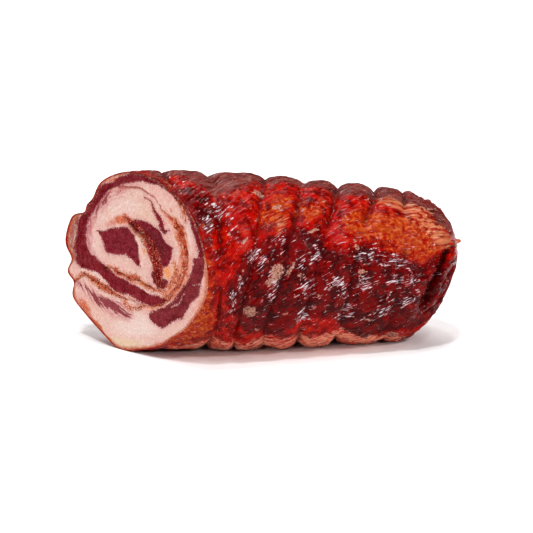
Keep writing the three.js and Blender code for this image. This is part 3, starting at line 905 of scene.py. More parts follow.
PALE_LINES = [
    [(-37, -9, 1.2), (-30, -9.5, 2.4), (-24, -10, 2.4), (-19, -13, 1.4)],
    [(-27.3, -16.7, 1), (-22, -18.7, 2.2), (-16.7, -19.3, 2.2), (-10.7, -20.7, 2)],
    [(2, -10.7, 1), (7, -11.6, 1.1), (12.7, -12, 1.1), (18, -11.5, 0.8)],
    [(39.3, -3.3, 0.2), (43, -2.2, 0.3), (46, -1.3, 0.4)],
    [(-41.7, 13, 0.4), (-42.2, 9, 0.5), (-42.5, 5, 0.4)],
    [(2.7, 15.3, 1.6), (4, 13.3, 1.8), (5.3, 9.3, 1.6), (6.7, 5.3, 1.8), (6, 0.7, 1.4)],
    [(34, -9, 0.2), (30, -14, 0.3), (25, -18, 0.2)]]
ORANGE_STAINS = [(-7.3, 24, 5.6, 2.6, 12, 1.0), (-14, 21.3, 5.5, 2, 20, 0.55),
                 (-4.7, 26, 1, 1.8, 0, 0.8), (26, 34, 1.8, 1, -20, 0.7), (-35, -29, 5.5, 3, -48, 0.95),
                 (-26, -38, 4.4, 1.6, -42, 0.85), (-13.5, 45, 4, 1.2, 25, 0.8),
                 (-18, -16.6, 1.6, 1.1, -10, 0.8), (-1.3, -18.3, 3, 1.2, -5, 0.6),
                 (18, -9.6, 1.8, 0.8, 0, 0.8), (-40.6, 18, 2, 4.6, -25, 0.5),
                 (-44, -14, 1.6, 3, 10, 0.6), (8, 16.5, 2.4, 1.2, -25, 0.8)]
AMBER_STAINS = [(23.2, 0.6, 2.6, 4.6, 14, 0.95), (7.6, 10, 1.3, 4.6, -20, 0.9), (27.5, 3, 2, 4, 10, 0.5),
                (-3, 24, 3, 1.6, 0, 0.5), (6, -8.6, 4, 1.4, -14, 0.7), (-25, -14.6, 5, 1.6, -16, 0.6)]
# A pale band along the heart's fold: partly cream fat, partly painted glints on its wet lumps.
FOLD_PALE_AND_GLINT = [(3.2, 18.8, 1), (5, 16.6, 2.4), (6.8, 13.8, 2.2), (8.4, 10.6, 1), (10.6, 6.6, 0.8),
             (12.4, 2.6, 0.7)]
WHITE_AREAS = [(4.7, -31.5, 24, 7, 16, 0.75), (38, 24, 3, 12, -8, 0.5), (-5, 31, 16, 5, 8, 0.35),
               (-27, 8, 4, 8, -10, 0.35), (48, -2, 3, 12, 0, 0.4)]
CREAM_AREAS = [(-7, -44, 16, 4, 4, 0.8), (10, 30, 10, 7, 0, 0.3), (-30, -27, 6, 4, -30, 0.3)]
RING_FADES = [(-28, 22, 16, 30, -25, 1), (-6, 38, 18, 7, 5, 0.7)]
RIM_STAINS = [(-38, -32, 14, 10, -45, 1), (0, -48, 24, 8, 0, 0.6)]
RIGHT_EDGE = [(46, -7, 9, 24, 12, 1)]
OPENINGS = [([(-1, 22, 0.6), (5, 18.4, 1.4), (10, 13.4, 2), (13.8, 7.6, 2.2), (16.4, 1.6, 2),
              (17.8, -4.6, 1)], 1.5),
            ([(-43, -17.5, 0.5), (-37.3, -12.7, 0.5), (-32, -12.2, 0.35), (-22, -14.4, 0.3),
              (-12, -17.8, 0.3), (0, -19.4, 0.3), (11, -20.2, 0.35), (20, -16.6, 0.4), (28, -9.6, 0.3),
              (33, -1, 0.3), (35.4, 9, 0.3), (34.6, 19, 0.35), (30, 26.6, 0.3)], 0.7),
            ([(-20.7, 36.7, 0.25), (-11.3, 41, 0.3), (-0.7, 42.3, 0.3), (10, 41.3, 0.25),
              (18.7, 35.3, 0.25)], 0.5),
            ([(-18.7, -4.7, 0.3), (-10.7, -5, 0.35), (-2, -6.9, 0.4), (6, -8.3, 0.35),
              (14, -10.3, 0.25)], 0.7),
            ([(-38.9, 22.2, 0.5), (-39.6, 16, 0.4), (-41, 8, 0.35), (-42.2, 2, 0.4)], 0.8)]
print("drawn on the cut:", len(SPICE_LINES), "lines of spice,", len(SPICE_HEAPS), "heaps and",
      len(OPENINGS), "openings")

# %% [markdown]
# Each line is bent into a smooth curve before it is used. How far a point lies inside a band
# is half the band's thickness there, less the distance to its middle line. Because meat
# tears and smears, the whole drawing is looked up at places pushed about by noise.

# %% Read the drawing
def smooth_line(points, spacing=1.1):
    """A curve through all the points, as closely spaced points that keep the third number."""
    p = np.asarray(points, float)
    p = np.concatenate([[2 * p[0] - p[1]], p, [2 * p[-1] - p[-2]]])
    out = []
    for a, b, c, d in zip(p[:-3], p[1:-2], p[2:-1], p[3:]):
        count = max(int(np.hypot(*(c - b)[:2]) / spacing), 1)
        t = np.arange(count)[:, None] / count
        out.append(0.5 * (2 * b + (c - a) * t + (2 * a - 5 * b + 4 * c - d) * t ** 2
                          + (3 * b - a - 3 * c + d) * t ** 3))
    return np.concatenate(out + [p[-2:-1]])


def band_depth(x, y, line):
    """How far inside a band each point is, mm; below zero outside it."""
    curve = smooth_line(line)
    best = np.full(x.shape, -99.0)
    for (ax, ay, aw), (bx, by, bw) in zip(curve[:-1], curve[1:]):
        dx, dy = bx - ax, by - ay
        t = np.clip(((x - ax) * dx + (y - ay) * dy) / (dx * dx + dy * dy + 1e-12), 0, 1)
        away = np.hypot(x - ax - t * dx, y - ay - t * dy)
        best = np.maximum(best, np.maximum(mix(aw, bw, t), 0) / 2 - away)
    return best


def stain(x, y, spots):
    """Soft round stains: right, up, half width, half height, turn and strength."""
    total = np.zeros(x.shape)
    for right, up, wide, high, tilt, strength in spots:
        t = np.radians(tilt)
        dx, dy = x - right, y - up
        a, b = dx * np.cos(t) + dy * np.sin(t), dy * np.cos(t) - dx * np.sin(t)
        total = np.maximum(total, strength * (1 - ease(np.hypot(a / wide, b / high), 0.45, 1.25)))
    return total


print("the outer ring is drawn with", len(smooth_line(OUTER_RING)), "points")

# %% [markdown]
# ## The face as a slab that fills the dish
#
# A square grid is rounded into the outline of the cut, so there is no pole in the middle and
# the points are equally close everywhere. It stays a hair inside the casing's rim.

# %% Grid of the face
FACE_GRID, FACE_GAP, SLAB_DEPTH = 270, 0.05, 3.6
line_of = np.linspace(-1, 1, FACE_GRID + 1)
across, upward = np.meshgrid(line_of, line_of, indexing="xy")
disc_x, disc_y = across * np.sqrt(1 - upward ** 2 / 2), upward * np.sqrt(1 - across ** 2 / 2)
face_angle = np.degrees(np.arctan2(disc_y, disc_x)) % 360
share = np.hypot(disc_x, disc_y)
face_radius = np.interp(face_angle, turns, edge_radius_drawn - RIM_WALL - FACE_GAP, period=360)
right_mm = share * face_radius * np.cos(np.radians(face_angle))
up_mm = share * face_radius * np.sin(np.radians(face_angle))
to_rim = (1 - share) * face_radius


def torn(seed):
    """How far the drawing is pushed about, mm: broad bends, small nicks and tiny ones."""
    return sum(far * noise(right_mm / long, up_mm / long, seed + long)
               for far, long in ((0.8, 7), (0.4, 2.4), (0.18, 1.1)))


rx, ry = right_mm + torn(1), up_mm + torn(11)
SPIRAL_RIGHT, SPIRAL_UP = 4, 8
spiral_turn = np.arctan2(ry - SPIRAL_UP, rx - SPIRAL_RIGHT)
spiral_reach = np.hypot(rx - SPIRAL_RIGHT, ry - SPIRAL_UP)
streaky = noise(spiral_turn * 4, spiral_reach / 1.3, 61)
streaky = streaky + 0.5 * noise(spiral_turn * 9, spiral_reach / 0.8, 62)
centre = FACE_GRID // 2
print("face:", right_mm.size, "points, one every",
      round(float(right_mm[centre, centre + 1] - right_mm[centre, centre]), 2), "mm")

# %% [markdown]
# Every band and outline tells each point of the face how deep inside it the point lies, in
# millimetres, below zero outside. Where several parts of the lean meet, the deepest counts.

# %% Depth inside each drawn thing
def deepest(bands):
    return np.maximum.reduce([band_depth(rx, ry, band) for band in bands])


feathery_depth, fold_pale = band_depth(rx, ry, FEATHERY_LEAN), band_depth(rx, ry, FOLD_PALE_AND_GLINT)
lean_parts = {
    "ring": band_depth(rx, ry, OUTER_RING), "band": band_depth(rx, ry, DIAGONAL_BAND),
    "block": depth_inside(rx, ry, smooth_line([p + (0,) for p in LOWER_BLOCK + LOWER_BLOCK[:1]])),
    "heart": np.maximum.reduce([depth_inside(rx, ry, shape)
                                for shape in (HEART_LEFT, HEART_RIGHT, HEART_TIP)]),
    "streak": band_depth(rx, ry, UPPER_STREAK),
    "soft": deepest([INNER_STREAK, FEATHERY_LEAN]) - 0.9 + 3 * streaky}
lean_depth = np.maximum.reduce(list(lean_parts.values()))
spice_zone = band_depth(rx, ry, SPICE_ZONE)
spice_line = deepest(SPICE_LINES)
heart_fold = band_depth(rx, ry, SPICE_LINES[2])
heap = stain(rx + 0.8 * streaky, ry, SPICE_HEAPS)
red_line = deepest(RED_LINES)
pale_line = deepest(PALE_LINES)
left_lobe = ease(-right_mm, 37.2, 39.6) * ease(up_mm, -7, -2) * ease(lean_parts["ring"], 0.5, -0.6)
print("share of the cut that is lean:", round(float((lean_depth > 0).mean()), 2))

# %% [markdown]
# ## Colours of the cut
#
# Fat and lean each get a colour for every point, laid on like thin washes: the ground colour
# first, then whiter, creamier or pinker areas, then stains. Where lean begins is kept apart,
# in millimetres, so that the finish can draw that edge more finely than the points lie.

# %% Washes of colour
def wash(ground, cover, colour):
    return ground + (colour - ground) * np.clip(cover, 0, 1)[..., None]


cloud = noise(right_mm / 9, up_mm / 9, 30)
mottle = noise(right_mm / 2.6, up_mm / 2.6, 31)
fat = wash(np.tile(paint(214, 184, 171), right_mm.shape + (1,)), 0.4 + 0.5 * cloud, paint(214, 164, 156))
fat = wash(fat, stain(rx, ry, WHITE_AREAS), paint(222, 204, 196))
fat = wash(fat, stain(rx, ry, CREAM_AREAS), paint(214, 194, 160))
fat = wash(fat, 0.5 * ease(-right_mm, 20, 36) * ease(-up_mm, 18, 26), paint(212, 156, 144))
near_lean = np.exp(-np.clip(-lean_depth, 0, 9) / 2.2)
grained = 1 - 0.75 * ease(-up_mm, 19, 27)
fat = wash(fat, 0.26 * grained * ease(streaky, 0.05, 0.6), paint(200, 132, 128))
fat = wash(fat, 0.3 * grained * ease(-streaky, 0.1, 0.7), paint(228, 208, 198))
fat = wash(fat, 0.5 * near_lean, paint(198, 120, 120))
ring_fades = ease(lean_parts["ring"], -7, -0.5) * stain(rx, ry, RING_FADES)
fat = wash(fat, ring_fades * (0.7 + 0.6 * streaky), paint(172, 90, 98))
feathery = ease(feathery_depth, -4, 1)
fat = wash(fat, feathery * (0.65 + 0.9 * streaky), paint(178, 100, 104))
fat = wash(fat, 0.85 * ease(spice_zone + streaky, -1.8, 1.6), paint(206, 122, 88))
fat = wash(fat, 0.6 * ease(spice_zone, -1, 1.5) * ease(streaky + mottle, -0.2, 0.5), paint(186, 72, 40))
fat = wash(fat, 0.6 * ease(spice_line, -2.4, 0.2), paint(206, 112, 76))
fat = wash(fat, stain(rx + 0.6 * mottle, ry, AMBER_STAINS), paint(218, 138, 76))
fat = wash(fat, 0.85 * heap, paint(150, 34, 16))
fat = wash(fat, ease(heart_fold, -1, 0.8), paint(120, 16, 12))
# Pale along the fold: partly cream fat and partly painted glints.
fat = wash(fat, 0.9 * ease(fold_pale, -0.6, 0.4), paint(228, 190, 168))
fat = wash(fat, 1.1 * stain(rx + 0.9 * mottle, ry + 0.6 * streaky, ORANGE_STAINS), paint(190, 84, 30))
fat = wash(fat, 0.85 * ease(red_line, -0.5, 0.3), paint(150, 40, 38))
fat = wash(fat, left_lobe, paint(146, 74, 66))
fat = wash(fat, 0.6 * left_lobe * ease(mottle + streaky, -0.1, 0.6), paint(172, 110, 102))
right_edge = stain(right_mm, up_mm, RIGHT_EDGE)
fat = wash(fat, 0.4 * right_edge * (1 - ease(to_rim, 1.5, 5.5)) * (0.8 + 0.5 * mottle), paint(222, 138, 92))
rim_width = 1.2 + 0.9 * noise(right_mm / 6, up_mm / 6, 33) + 0.9 * left_lobe
rim_width += 0.8 * right_edge + 1.1 * stain(right_mm, up_mm, RIM_STAINS)
fat = wash(fat, 0.9 * (1 - ease(to_rim, 0.3 * rim_width, 1.6 * rim_width)), paint(176, 78, 34))
print("mean colour of the fat, as light:", fat.mean((0, 1)).round(3))

# %% [markdown]
# Lean gets its washes in the same way: crimson in the outer ring, duller in the lower block,
# plum in the heart, and dusty pink where it runs out into the fat in feathery streaks.

# %% Washes over the lean
crimson, plum, dusty = paint(124, 6, 22), paint(140, 30, 42), paint(170, 92, 98)
lean = wash(np.tile(plum, right_mm.shape + (1,)), ease(lean_parts["ring"], -1, 0.6), crimson)
lean = wash(lean, ease(lean_parts["block"], -1, 1), paint(140, 52, 56))
lean = wash(lean, 0.6 * ease(lean_parts["heart"], -1, 1), paint(148, 40, 60))
lean = wash(lean, 0.5 * ease(lean_parts["heart"], 1.5, 4), paint(116, 12, 30))
lean = wash(lean, 0.5 * ease(mottle + streaky, 0, 0.9), paint(158, 66, 70))
lean = wash(lean, 0.5 * ease(cloud, 0, 0.6), paint(104, 6, 24))
broad_mottle = noise(right_mm / 4.5, up_mm / 3, 34)
lean = wash(lean, 0.5 * ease(broad_mottle, 0.05, 0.6), paint(158, 62, 80))
lean = wash(lean, 0.5 * ease(-broad_mottle, 0.1, 0.6), paint(96, 12, 26))
lean = wash(lean, 0.55 * ease(streaky, 0.15, 0.7) * ease(lean_parts["ring"], -1, 1), paint(156, 62, 68))
lean = wash(lean, 0.55 * stain(rx, ry, [(16, 15, 11, 8, -40, 1), (18, -5, 6, 5, 0, 1)]), paint(98, 36, 42))
lean = wash(lean, 0.85 * ease(lean_parts["soft"], -1, 0.4) * ease(-lean_parts["heart"], 0, 1), dusty)
lean = wash(lean, 0.4 * ease(-lean_depth, -1.4, 0.2), paint(164, 72, 74))
lean = wash(lean, 0.8 * (1 - ease(to_rim, 0, 1.3)), paint(110, 34, 26))
lean_depth = np.minimum(lean_depth, 0.35 * (to_rim - 0.5) + 0.2)
lean_depth = np.where(pale_line > -0.4, np.minimum(lean_depth, -pale_line), lean_depth)
fat = wash(fat, 0.6 * ease(pale_line, -0.5, 0.3), paint(228, 198, 188))
print("mean colour of the lean, as light:", lean.mean((0, 1)).round(3))

# %% [markdown]
# ## Relief of the cut
#
# A knife leaves fat smooth and nearly flat. Lean dries and sinks a little and keeps its
# fibres; the turns of the roll part along the spice; and in the folded heart the meat gapes,
# wet and rough. These heights are moved points, so the crevices hold real shade.

# %% Heights of the face
fibre = noise(right_mm / 0.9, up_mm / 0.9, 50)
rough_spice = crest(noise(right_mm / 1.7, up_mm / 1.7, 51), 0.7)
rough_spice = rough_spice + 0.6 * noise(right_mm / 0.8, up_mm / 0.8, 52)
lean_share, zone_share = ease(lean_depth, -0.3, 0.5), ease(spice_zone, -0.8, 1.2)
line_share = ease(spice_line, -0.4, 0.5)
height = 0.35 * noise(right_mm / 15, up_mm / 15, 53) + 0.06 * mottle
height -= lean_share * (0.22 - 0.07 * fibre)
height += 0.2 * rough_spice * zone_share + 0.22 * rough_spice * line_share - 0.2 * (zone_share + line_share)
ragged = 1 + 0.5 * noise(right_mm / 2.2, up_mm / 2.2, 54)
height += 0.7 * rough_spice * ease(heart_fold, -0.5, 1)
for line, deep in OPENINGS:
    gape = band_depth(rx, ry, line)
    height -= deep * ragged * ease(gape, -0.75, 0.25)
    height += 0.25 * deep * np.exp(-((gape + 1.3) / 0.7) ** 2)
height -= 0.3 * left_lobe + 0.5 * (1 - ease(to_rim, 0, 0.9)) * (0.6 + 0.4 * cloud)
print("relief of the face, mm:", round(float(height.min()), 2), "to", round(float(height.max()), 2))

# %% [markdown]
# The heights push the points out of the cut, straight away from it. Behind them the slab has
# a plain edge and a flat back inside the dish, so that it is one closed piece.

# %% Slab of the face
face_way = np.array([-1, -CUT_SLOPE, 0]) / np.hypot(1, CUT_SLOPE)
flat_cut = np.stack([CUT_X + CUT_SLOPE * right_mm, -right_mm, cut_level + up_mm], -1)
top = flat_cut + height[..., None] * face_way
side = FACE_GRID + 1
index = np.arange(side * side).reshape(side, side)
loop = np.concatenate([index[0, :-1], index[:-1, -1], index[-1, :0:-1], index[:0:-1, 0]])
flat_top = top.reshape(-1, 3)
back = flat_cut.reshape(-1, 3)[loop]
back = back * (1, 0.995, 1) + (SLAB_DEPTH, 0, 0)
face_points = np.concatenate([flat_top, back, [[CUT_X + SLAB_DEPTH, 0, cut_level]]])
grid_quads = np.stack([index[:-1, :-1], index[:-1, 1:], index[1:, 1:], index[1:, :-1]], -1).reshape(-1, 4)
n, base = len(loop), len(flat_top)
m = np.arange(n)
walls = np.stack([loop, base + m, base + (m + 1) % n, np.roll(loop, -1)], -1)
floor_fan = np.stack([base + (m + 1) % n, base + m, np.full(n, base + n)], -1)
face = make_piece("cut_face", face_points, np.concatenate([grid_quads, walls]), floor_fan)


def whole_face(values):
    """Values of the face's grid, and then those of its edge for the back of the slab."""
    flat = values.reshape(len(flat_top), -1)
    return np.concatenate([flat, flat[loop], flat[:1]]).squeeze()


in_fold = ease(heart_fold, -0.6, 0.6)
crumb_share = np.clip(1.2 * heap + 0.12 * zone_share + 0.35 * line_share * (1 - in_fold), 0, 1)
store(face, "fat_colour", whole_face(fat))
store(face, "lean_colour", whole_face(lean))
store(face, "lean_depth", whole_face(np.clip(lean_depth, -6, 6)))
spice_depth = np.maximum.reduce([spice_zone - 3.4 + 3 * streaky, 9 * heap - 6, spice_line - 0.1])
store(face, "spice_depth", whole_face(np.clip(spice_depth, -6, 6)))
store(face, "crumb_share", np.concatenate([crumb_share.ravel(), np.zeros(n + 1)]))
store(face, "fold_pale", whole_face(np.clip(fold_pale, -3, 3)))
# The wet fold, and points sunk deeper than 0.7 mm: the finish gives both the dark wet red, which in the
# crevices is painted shade.
store(face, "wet", whole_face(np.maximum(ease(-height, 0.7, 2.2), 0.9 * in_fold)))

# %% [markdown]
# ## The finish of cut meat
#
# Fat lets light in deeply and is smooth and moist; lean is darker, has a grain of short
# fibres and shines less. Ground spice is a crumbly rust red, and the folded heart is wet, with
# painted glints on it; points sunk deep in the crevices take the same dark wet red as painted
# shade. One finish does all four, because on the knife's cut they are one surface.

# %% Fat, lean, spice and the wet fold
def cut_noises(f):
    f.here = f.millimetres()
    f.soft, f.grain = f.noise(f.here, 0.4, 3), f.noise(f.here, 1.25, 3, 0.6)
    f.fine, f.dust = f.noise(f.here, 2.6, 3, 0.65), f.noise(f.here, 5.0, 2)
    f.fibres = f.noise(f.mapped(f.here, (0.5, 0.5, 2.2)), 1.0, 3, 0.6)


def cut_fat(f):
    fat = f.read("fat_colour", "Vector")
    fat = f.blend(f.step(f.grain, 0.48, 0.66, 0, 0.4), fat, paint(202, 138, 132))
    fat = f.blend(f.step(f.grain, 0.47, 0.36, 0, 0.4), fat, paint(240, 222, 212))
    return f.blend(f.step(f.soft, 0.5, 0.75, 0, 0.3), fat, paint(228, 210, 198))


def cut_lean(f):
    lean = f.read("lean_colour", "Vector")
    lean = f.blend(f.step(f.grain, 0.5, 0.64, 0, 0.5), lean, paint(180, 92, 98))
    lean = f.blend(f.step(f.soft, 0.5, 0.68, 0, 0.4), lean, paint(164, 66, 76))
    return f.blend(f.step(f.fibres, 0.48, 0.34, 0, 0.4), lean, paint(78, 4, 16))


def crumbly_spice(f):
    bits = f.noise(f.here, 0.5, 3, 0.6, 0.5)
    spice = f.blend(f.step(f.grain, 0.42, 0.56), paint(158, 36, 16), paint(204, 90, 48))
    spice = f.blend(f.step(f.fine, 0.52, 0.62, 0, 0.7), spice, paint(226, 144, 96))
    return f.blend(f.step(bits, 0.52, 0.57), spice, paint(126, 14, 8))


def wet_fold_and_glints(f):
    wet = f.blend(f.step(f.grain, 0.44, 0.56), paint(138, 10, 16), paint(192, 52, 46))
    # Painted highlight: pinkish white glints on the wet fold.
    return f.blend(f.step(f.grain, 0.56, 0.62, 0, 0.9), wet, paint(240, 190, 180))


print("light of the wet fold's two reds:", paint(138, 10, 16).round(3), paint(192, 52, 46).round(3))

# %% [markdown]
# The edges between fat, lean and spice are ragged. The coat's bumps are stronger than the
# meat's, so that wet places glitter, and it bends light only a little, so the lean stays dark.

# %% Cut meat
def cut_meat():
    f = Finish("cut pork belly")
    cut_noises(f)
    lean_share = f.step(f.ragged("lean_depth", (f.grain, 2.0), (f.fine, 0.8)), -0.3, 0.35)
    spice_edge = f.ragged("spice_depth", (f.grain, 6.0), (f.fine, 3.0))
    spice_share = f.step(spice_edge, -0.4, 0.5, 0, 0.92)
    moist_and_recess_shade = f.read("wet")
    pale = f.step(f.read("fold_pale"), -0.5, 0.3, 0.9, 0.15)
    colour = f.blend(lean_share, cut_fat(f), cut_lean(f))
    colour = f.blend(spice_share, colour, crumbly_spice(f))
    # Wet colour with its painted glints over the fold and, as painted shade, in the deep crevices.
    colour = f.blend(f.math("MULTIPLY", moist_and_recess_shade, pale), colour, wet_fold_and_glints(f))

    dust = f.math("MULTIPLY", f.dust, 0.3)
    height = f.math("MULTIPLY_ADD", lean_share, f.step(f.fine, 0.2, 0.8, 0, 0.9), dust)
    height = f.math("MULTIPLY_ADD", spice_share, f.grain, height)
    gloss = f.math("MAXIMUM", f.step(lean_share, 0, 1, 0.6, 0.3), moist_and_recess_shade)
    f.set(Base_Color=colour, Roughness=f.step(lean_share, 0, 1, 0.36, 0.5), Specular_IOR_Level=0.0,
          Normal=f.bump(height, 0.0005), Subsurface_Weight=f.step(lean_share, 0, 1, 0.22, 0.06),
          Subsurface_Radius=(1, 0.45, 0.3), Subsurface_Scale=0.0022,
          Coat_Weight=f.math("MAXIMUM", gloss, spice_share), Coat_Roughness=0.08, Coat_IOR=1.25,
          Coat_Normal=f.bump(f.math("ADD", height, f.grain), 0.0009))
    return f.material


face.data.materials.append(cut_meat())
print("finish:", face.data.materials[0].name)

# %% [markdown]
# ## Crumbs of ground spice
#
# Pepper and chilli were rubbed on before rolling, and the knife pulled grains of them loose.
# More than a hundred grains on a surface are work for Geometry Nodes: points are scattered
# where the face says that there is spice, each gets a small lump, turned and sized at
# random, and the lumps are made real at the end.

# %% Finish of the crumbs
def ground_spice():
    f = Finish("ground spice")
    here = f.millimetres()
    tone, fine = f.read("tone"), f.noise(here, 2.2, 3)
    colour = f.blend(f.step(tone, 0.1, 0.7), paint(158, 20, 12), paint(204, 70, 36))
    colour = f.blend(f.step(tone, 0.7, 0.95), colour, paint(232, 156, 110))
    colour = f.blend(f.step(fine, 0.5, 0.7, 0, 0.4), colour, paint(170, 40, 22))
    f.set(Base_Color=colour, Roughness=0.6, Specular_IOR_Level=0.0, Coat_Weight=1.0,
          Coat_Roughness=0.08, Coat_IOR=1.25,
          Normal=f.bump(fine, 0.0002), Subsurface_Weight=0.5, Subsurface_Radius=(1, 0.3, 0.2),
          Subsurface_Scale=0.001)
    return f.material


spice = ground_spice()
print("finish:", spice.name)

# %% [markdown]
# Each grain starts as a ball of twenty faces, and gets a tone at random, from which its finish
# takes dark red, orange or a pale straw colour.

# %% A tree that scatters lumps
SMALLEST_SHARE, LARGEST_SHARE, FULL_TURN = 0.35, 1.0, 6.28


def scatter_tree(name, finish):
    """A tree that scatters small lumps over faces, by the share stored on them."""
    tree = bpy.data.node_groups.new(name, "GeometryNodeTree")
    inputs = (("Lump size", "NodeSocketFloat", 0.0004), ("Lumps per square metre", "NodeSocketFloat", 5e5),
              ("Flatness", "NodeSocketFloat", 0.6), ("Seed", "NodeSocketInt", 3))
    tree.interface.new_socket("Faces", in_out="INPUT", socket_type="NodeSocketGeometry")
    for title, kind, value in inputs:
        tree.interface.new_socket(title, in_out="INPUT", socket_type=kind).default_value = value
    tree.interface.new_socket("Lumps", in_out="OUTPUT", socket_type="NodeSocketGeometry")

    def add(kind, **settings):
        node = tree.nodes.new(kind)
        for key, value in settings.items():
            setattr(node, key, value)
        return node

    def join(a, b):
        tree.links.new(a, b)

    given, result = add("NodeGroupInput"), add("NodeGroupOutput")
    share = add("GeometryNodeInputNamedAttribute", data_type="FLOAT")
    share.inputs["Name"].default_value = "crumb_share"
    points = add("GeometryNodeDistributePointsOnFaces")
    join(given.outputs["Faces"], points.inputs["Mesh"])
    density = add("ShaderNodeMath", operation="MULTIPLY")
    join(given.outputs["Lumps per square metre"], density.inputs[0])
    join(share.outputs[0], density.inputs[1])
    join(density.outputs[0], points.inputs["Density"])
    join(given.outputs["Seed"], points.inputs["Seed"])
    lump = add("GeometryNodeMeshIcoSphere")
    lump.inputs["Subdivisions"].default_value = 1
    lump.inputs["Radius"].default_value = 1.0
    size = add("FunctionNodeRandomValue", data_type="FLOAT")
    size.inputs[2].default_value, size.inputs[3].default_value = SMALLEST_SHARE, LARGEST_SHARE
    scale = add("ShaderNodeMath", operation="MULTIPLY")
    join(size.outputs[1], scale.inputs[0])
    join(given.outputs["Lump size"], scale.inputs[1])
    flat = add("ShaderNodeMath", operation="MULTIPLY")
    join(scale.outputs[0], flat.inputs[0])
    join(given.outputs["Flatness"], flat.inputs[1])
    scales = add("ShaderNodeCombineXYZ")
    for axis, socket in zip("XYZ", (scale, scale, flat)):
        join(socket.outputs[0], scales.inputs[axis])
    turn = add("FunctionNodeRandomValue", data_type="FLOAT_VECTOR")
    turn.inputs[0].default_value, turn.inputs[1].default_value = (0, 0, 0), (FULL_TURN,) * 3
    copies = add("GeometryNodeInstanceOnPoints")
    join(points.outputs["Points"], copies.inputs["Points"])
    join(lump.outputs["Mesh"], copies.inputs["Instance"])
    join(turn.outputs[0], copies.inputs["Rotation"])
    join(scales.outputs[0], copies.inputs["Scale"])
    tone = add("FunctionNodeRandomValue", data_type="FLOAT")
    tone.inputs["Seed"].default_value = 9
    keep = add("GeometryNodeStoreNamedAttribute", data_type="FLOAT", domain="INSTANCE")
    keep.inputs["Name"].default_value = "tone"
    join(copies.outputs["Instances"], keep.inputs["Geometry"])
    join(tone.outputs[1], keep.inputs["Value"])
    real, coloured = add("GeometryNodeRealizeInstances"), add("GeometryNodeSetMaterial")
    coloured.inputs["Material"].default_value = finish
    join(keep.outputs[0], real.inputs[0])
    join(real.outputs[0], coloured.inputs[0])
    join(coloured.outputs[0], result.inputs["Lumps"])
    return tree


spice_tree = scatter_tree("spice crumbs", spice)
print("tree:", spice_tree.name, len(spice_tree.nodes), "nodes")

# %% [markdown]
# The tree runs on a second object that has the face's mesh, and what it makes is kept as a
# plain mesh, so that the crumbs are a piece of their own.

# %% Scatter the crumbs
def scatter(name, carrier, tree, finish, values):
    """Runs a tree on a piece's faces and keeps the result as a plain mesh piece."""
    holder = bpy.data.objects.new(name + "_carrier", carrier.data)
    bpy.context.scene.collection.objects.link(holder)
    run = holder.modifiers.new("lumps", "NODES")
    run.node_group = tree
    for item in tree.interface.items_tree:
        if item.in_out == "INPUT" and item.name in values:
            run[item.identifier] = values[item.name]
    ready = holder.evaluated_get(bpy.context.evaluated_depsgraph_get())
    mesh = bpy.data.meshes.new_from_object(ready)
    bpy.data.objects.remove(holder)
    piece = bpy.data.objects.new(name, mesh)
    bpy.context.scene.collection.objects.link(piece)
    mesh.materials.clear()
    mesh.materials.append(finish)
    mesh.polygons.foreach_set("material_index", np.zeros(len(mesh.polygons), np.int32))
    mesh.polygons.foreach_set("use_smooth", np.ones(len(mesh.polygons), bool))
    print(name, len(mesh.polygons), "faces")
    return piece


crumbs = scatter("spice_crumbs", face, spice_tree, spice,
                 {"Lump size": 0.0005, "Lumps per square metre": 4e5, "Flatness": 0.4, "Seed": 3})

# %% [markdown]
# ## The torn end of the casing
#
# Where the knot was, a short twist of dry casing sticks out. It is a flattened tube that
# narrows, bends and is creased along its length.

# %% Casing tail
TAIL_LENGTH, TAIL_WAY = 9.0, np.array([0.883, 0.469, 0.0])
TAIL_RINGS, TAIL_ROUND = 30, 28
STRAIGHT_UP = np.array([0, 0, 1.0])
t = np.linspace(0, 1, TAIL_RINGS)[:, None]
a = np.arange(TAIL_ROUND) * 2 * np.pi / TAIL_ROUND
side_way = np.array([TAIL_WAY[1], -TAIL_WAY[0], 0])
half_wide = 3.4 * (1 - 0.75 * t ** 1.1) + 0.3 * noise(t * 6, np.cos(a), np.sin(a))
half_thick = 1.3 * (1 - 0.6 * t) * (1 + 0.45 * noise(t * 3, 2.2 * np.cos(a), 2.2 * np.sin(a) + 5))
twist = 0.9 + 0.7 * t
out_side, out_up = half_wide * np.cos(a), half_thick * np.sin(a)
sideways = out_side * np.cos(twist) - out_up * np.sin(twist)
upwards = out_side * np.sin(twist) + out_up * np.cos(twist)
root = np.array([TIP_X - 4.6, float(tip_side) - 0.6, float(tip_up) + 3.4])
along, rise = t * (TAIL_LENGTH + 1.6), 1.1 * np.sin(2.4 * t) * t
curve = root + along[..., None] * TAIL_WAY + rise[..., None] * STRAIGHT_UP
rings = curve + sideways[..., None] * side_way + upwards[..., None] * STRAIGHT_UP
tail = close_rings("casing_tail", rings, rings[0].mean(0), rings[-1].mean(0) + 0.4 * TAIL_WAY)


def dry_casing():
    f = Finish("dry casing")
    here = f.millimetres()
    grain = f.noise(f.mapped(here, (0.5, 1.0, 2.0)), 1.2, 3, 0.6)
    colour = f.blend(f.step(grain, 0.35, 0.65), paint(150, 34, 14), paint(222, 112, 58))
    f.set(Base_Color=colour, Roughness=0.42, Normal=f.bump(grain, 0.0003), Coat_Weight=0.4,
          Coat_Roughness=0.2, Subsurface_Weight=0.15, Subsurface_Scale=0.001)
    return f.material


tail.data.materials.append(dry_casing())

# %% [markdown]
# ## Floor, light and camera
#
# The roll lies on a plain white table that is so large that its edge never shows.

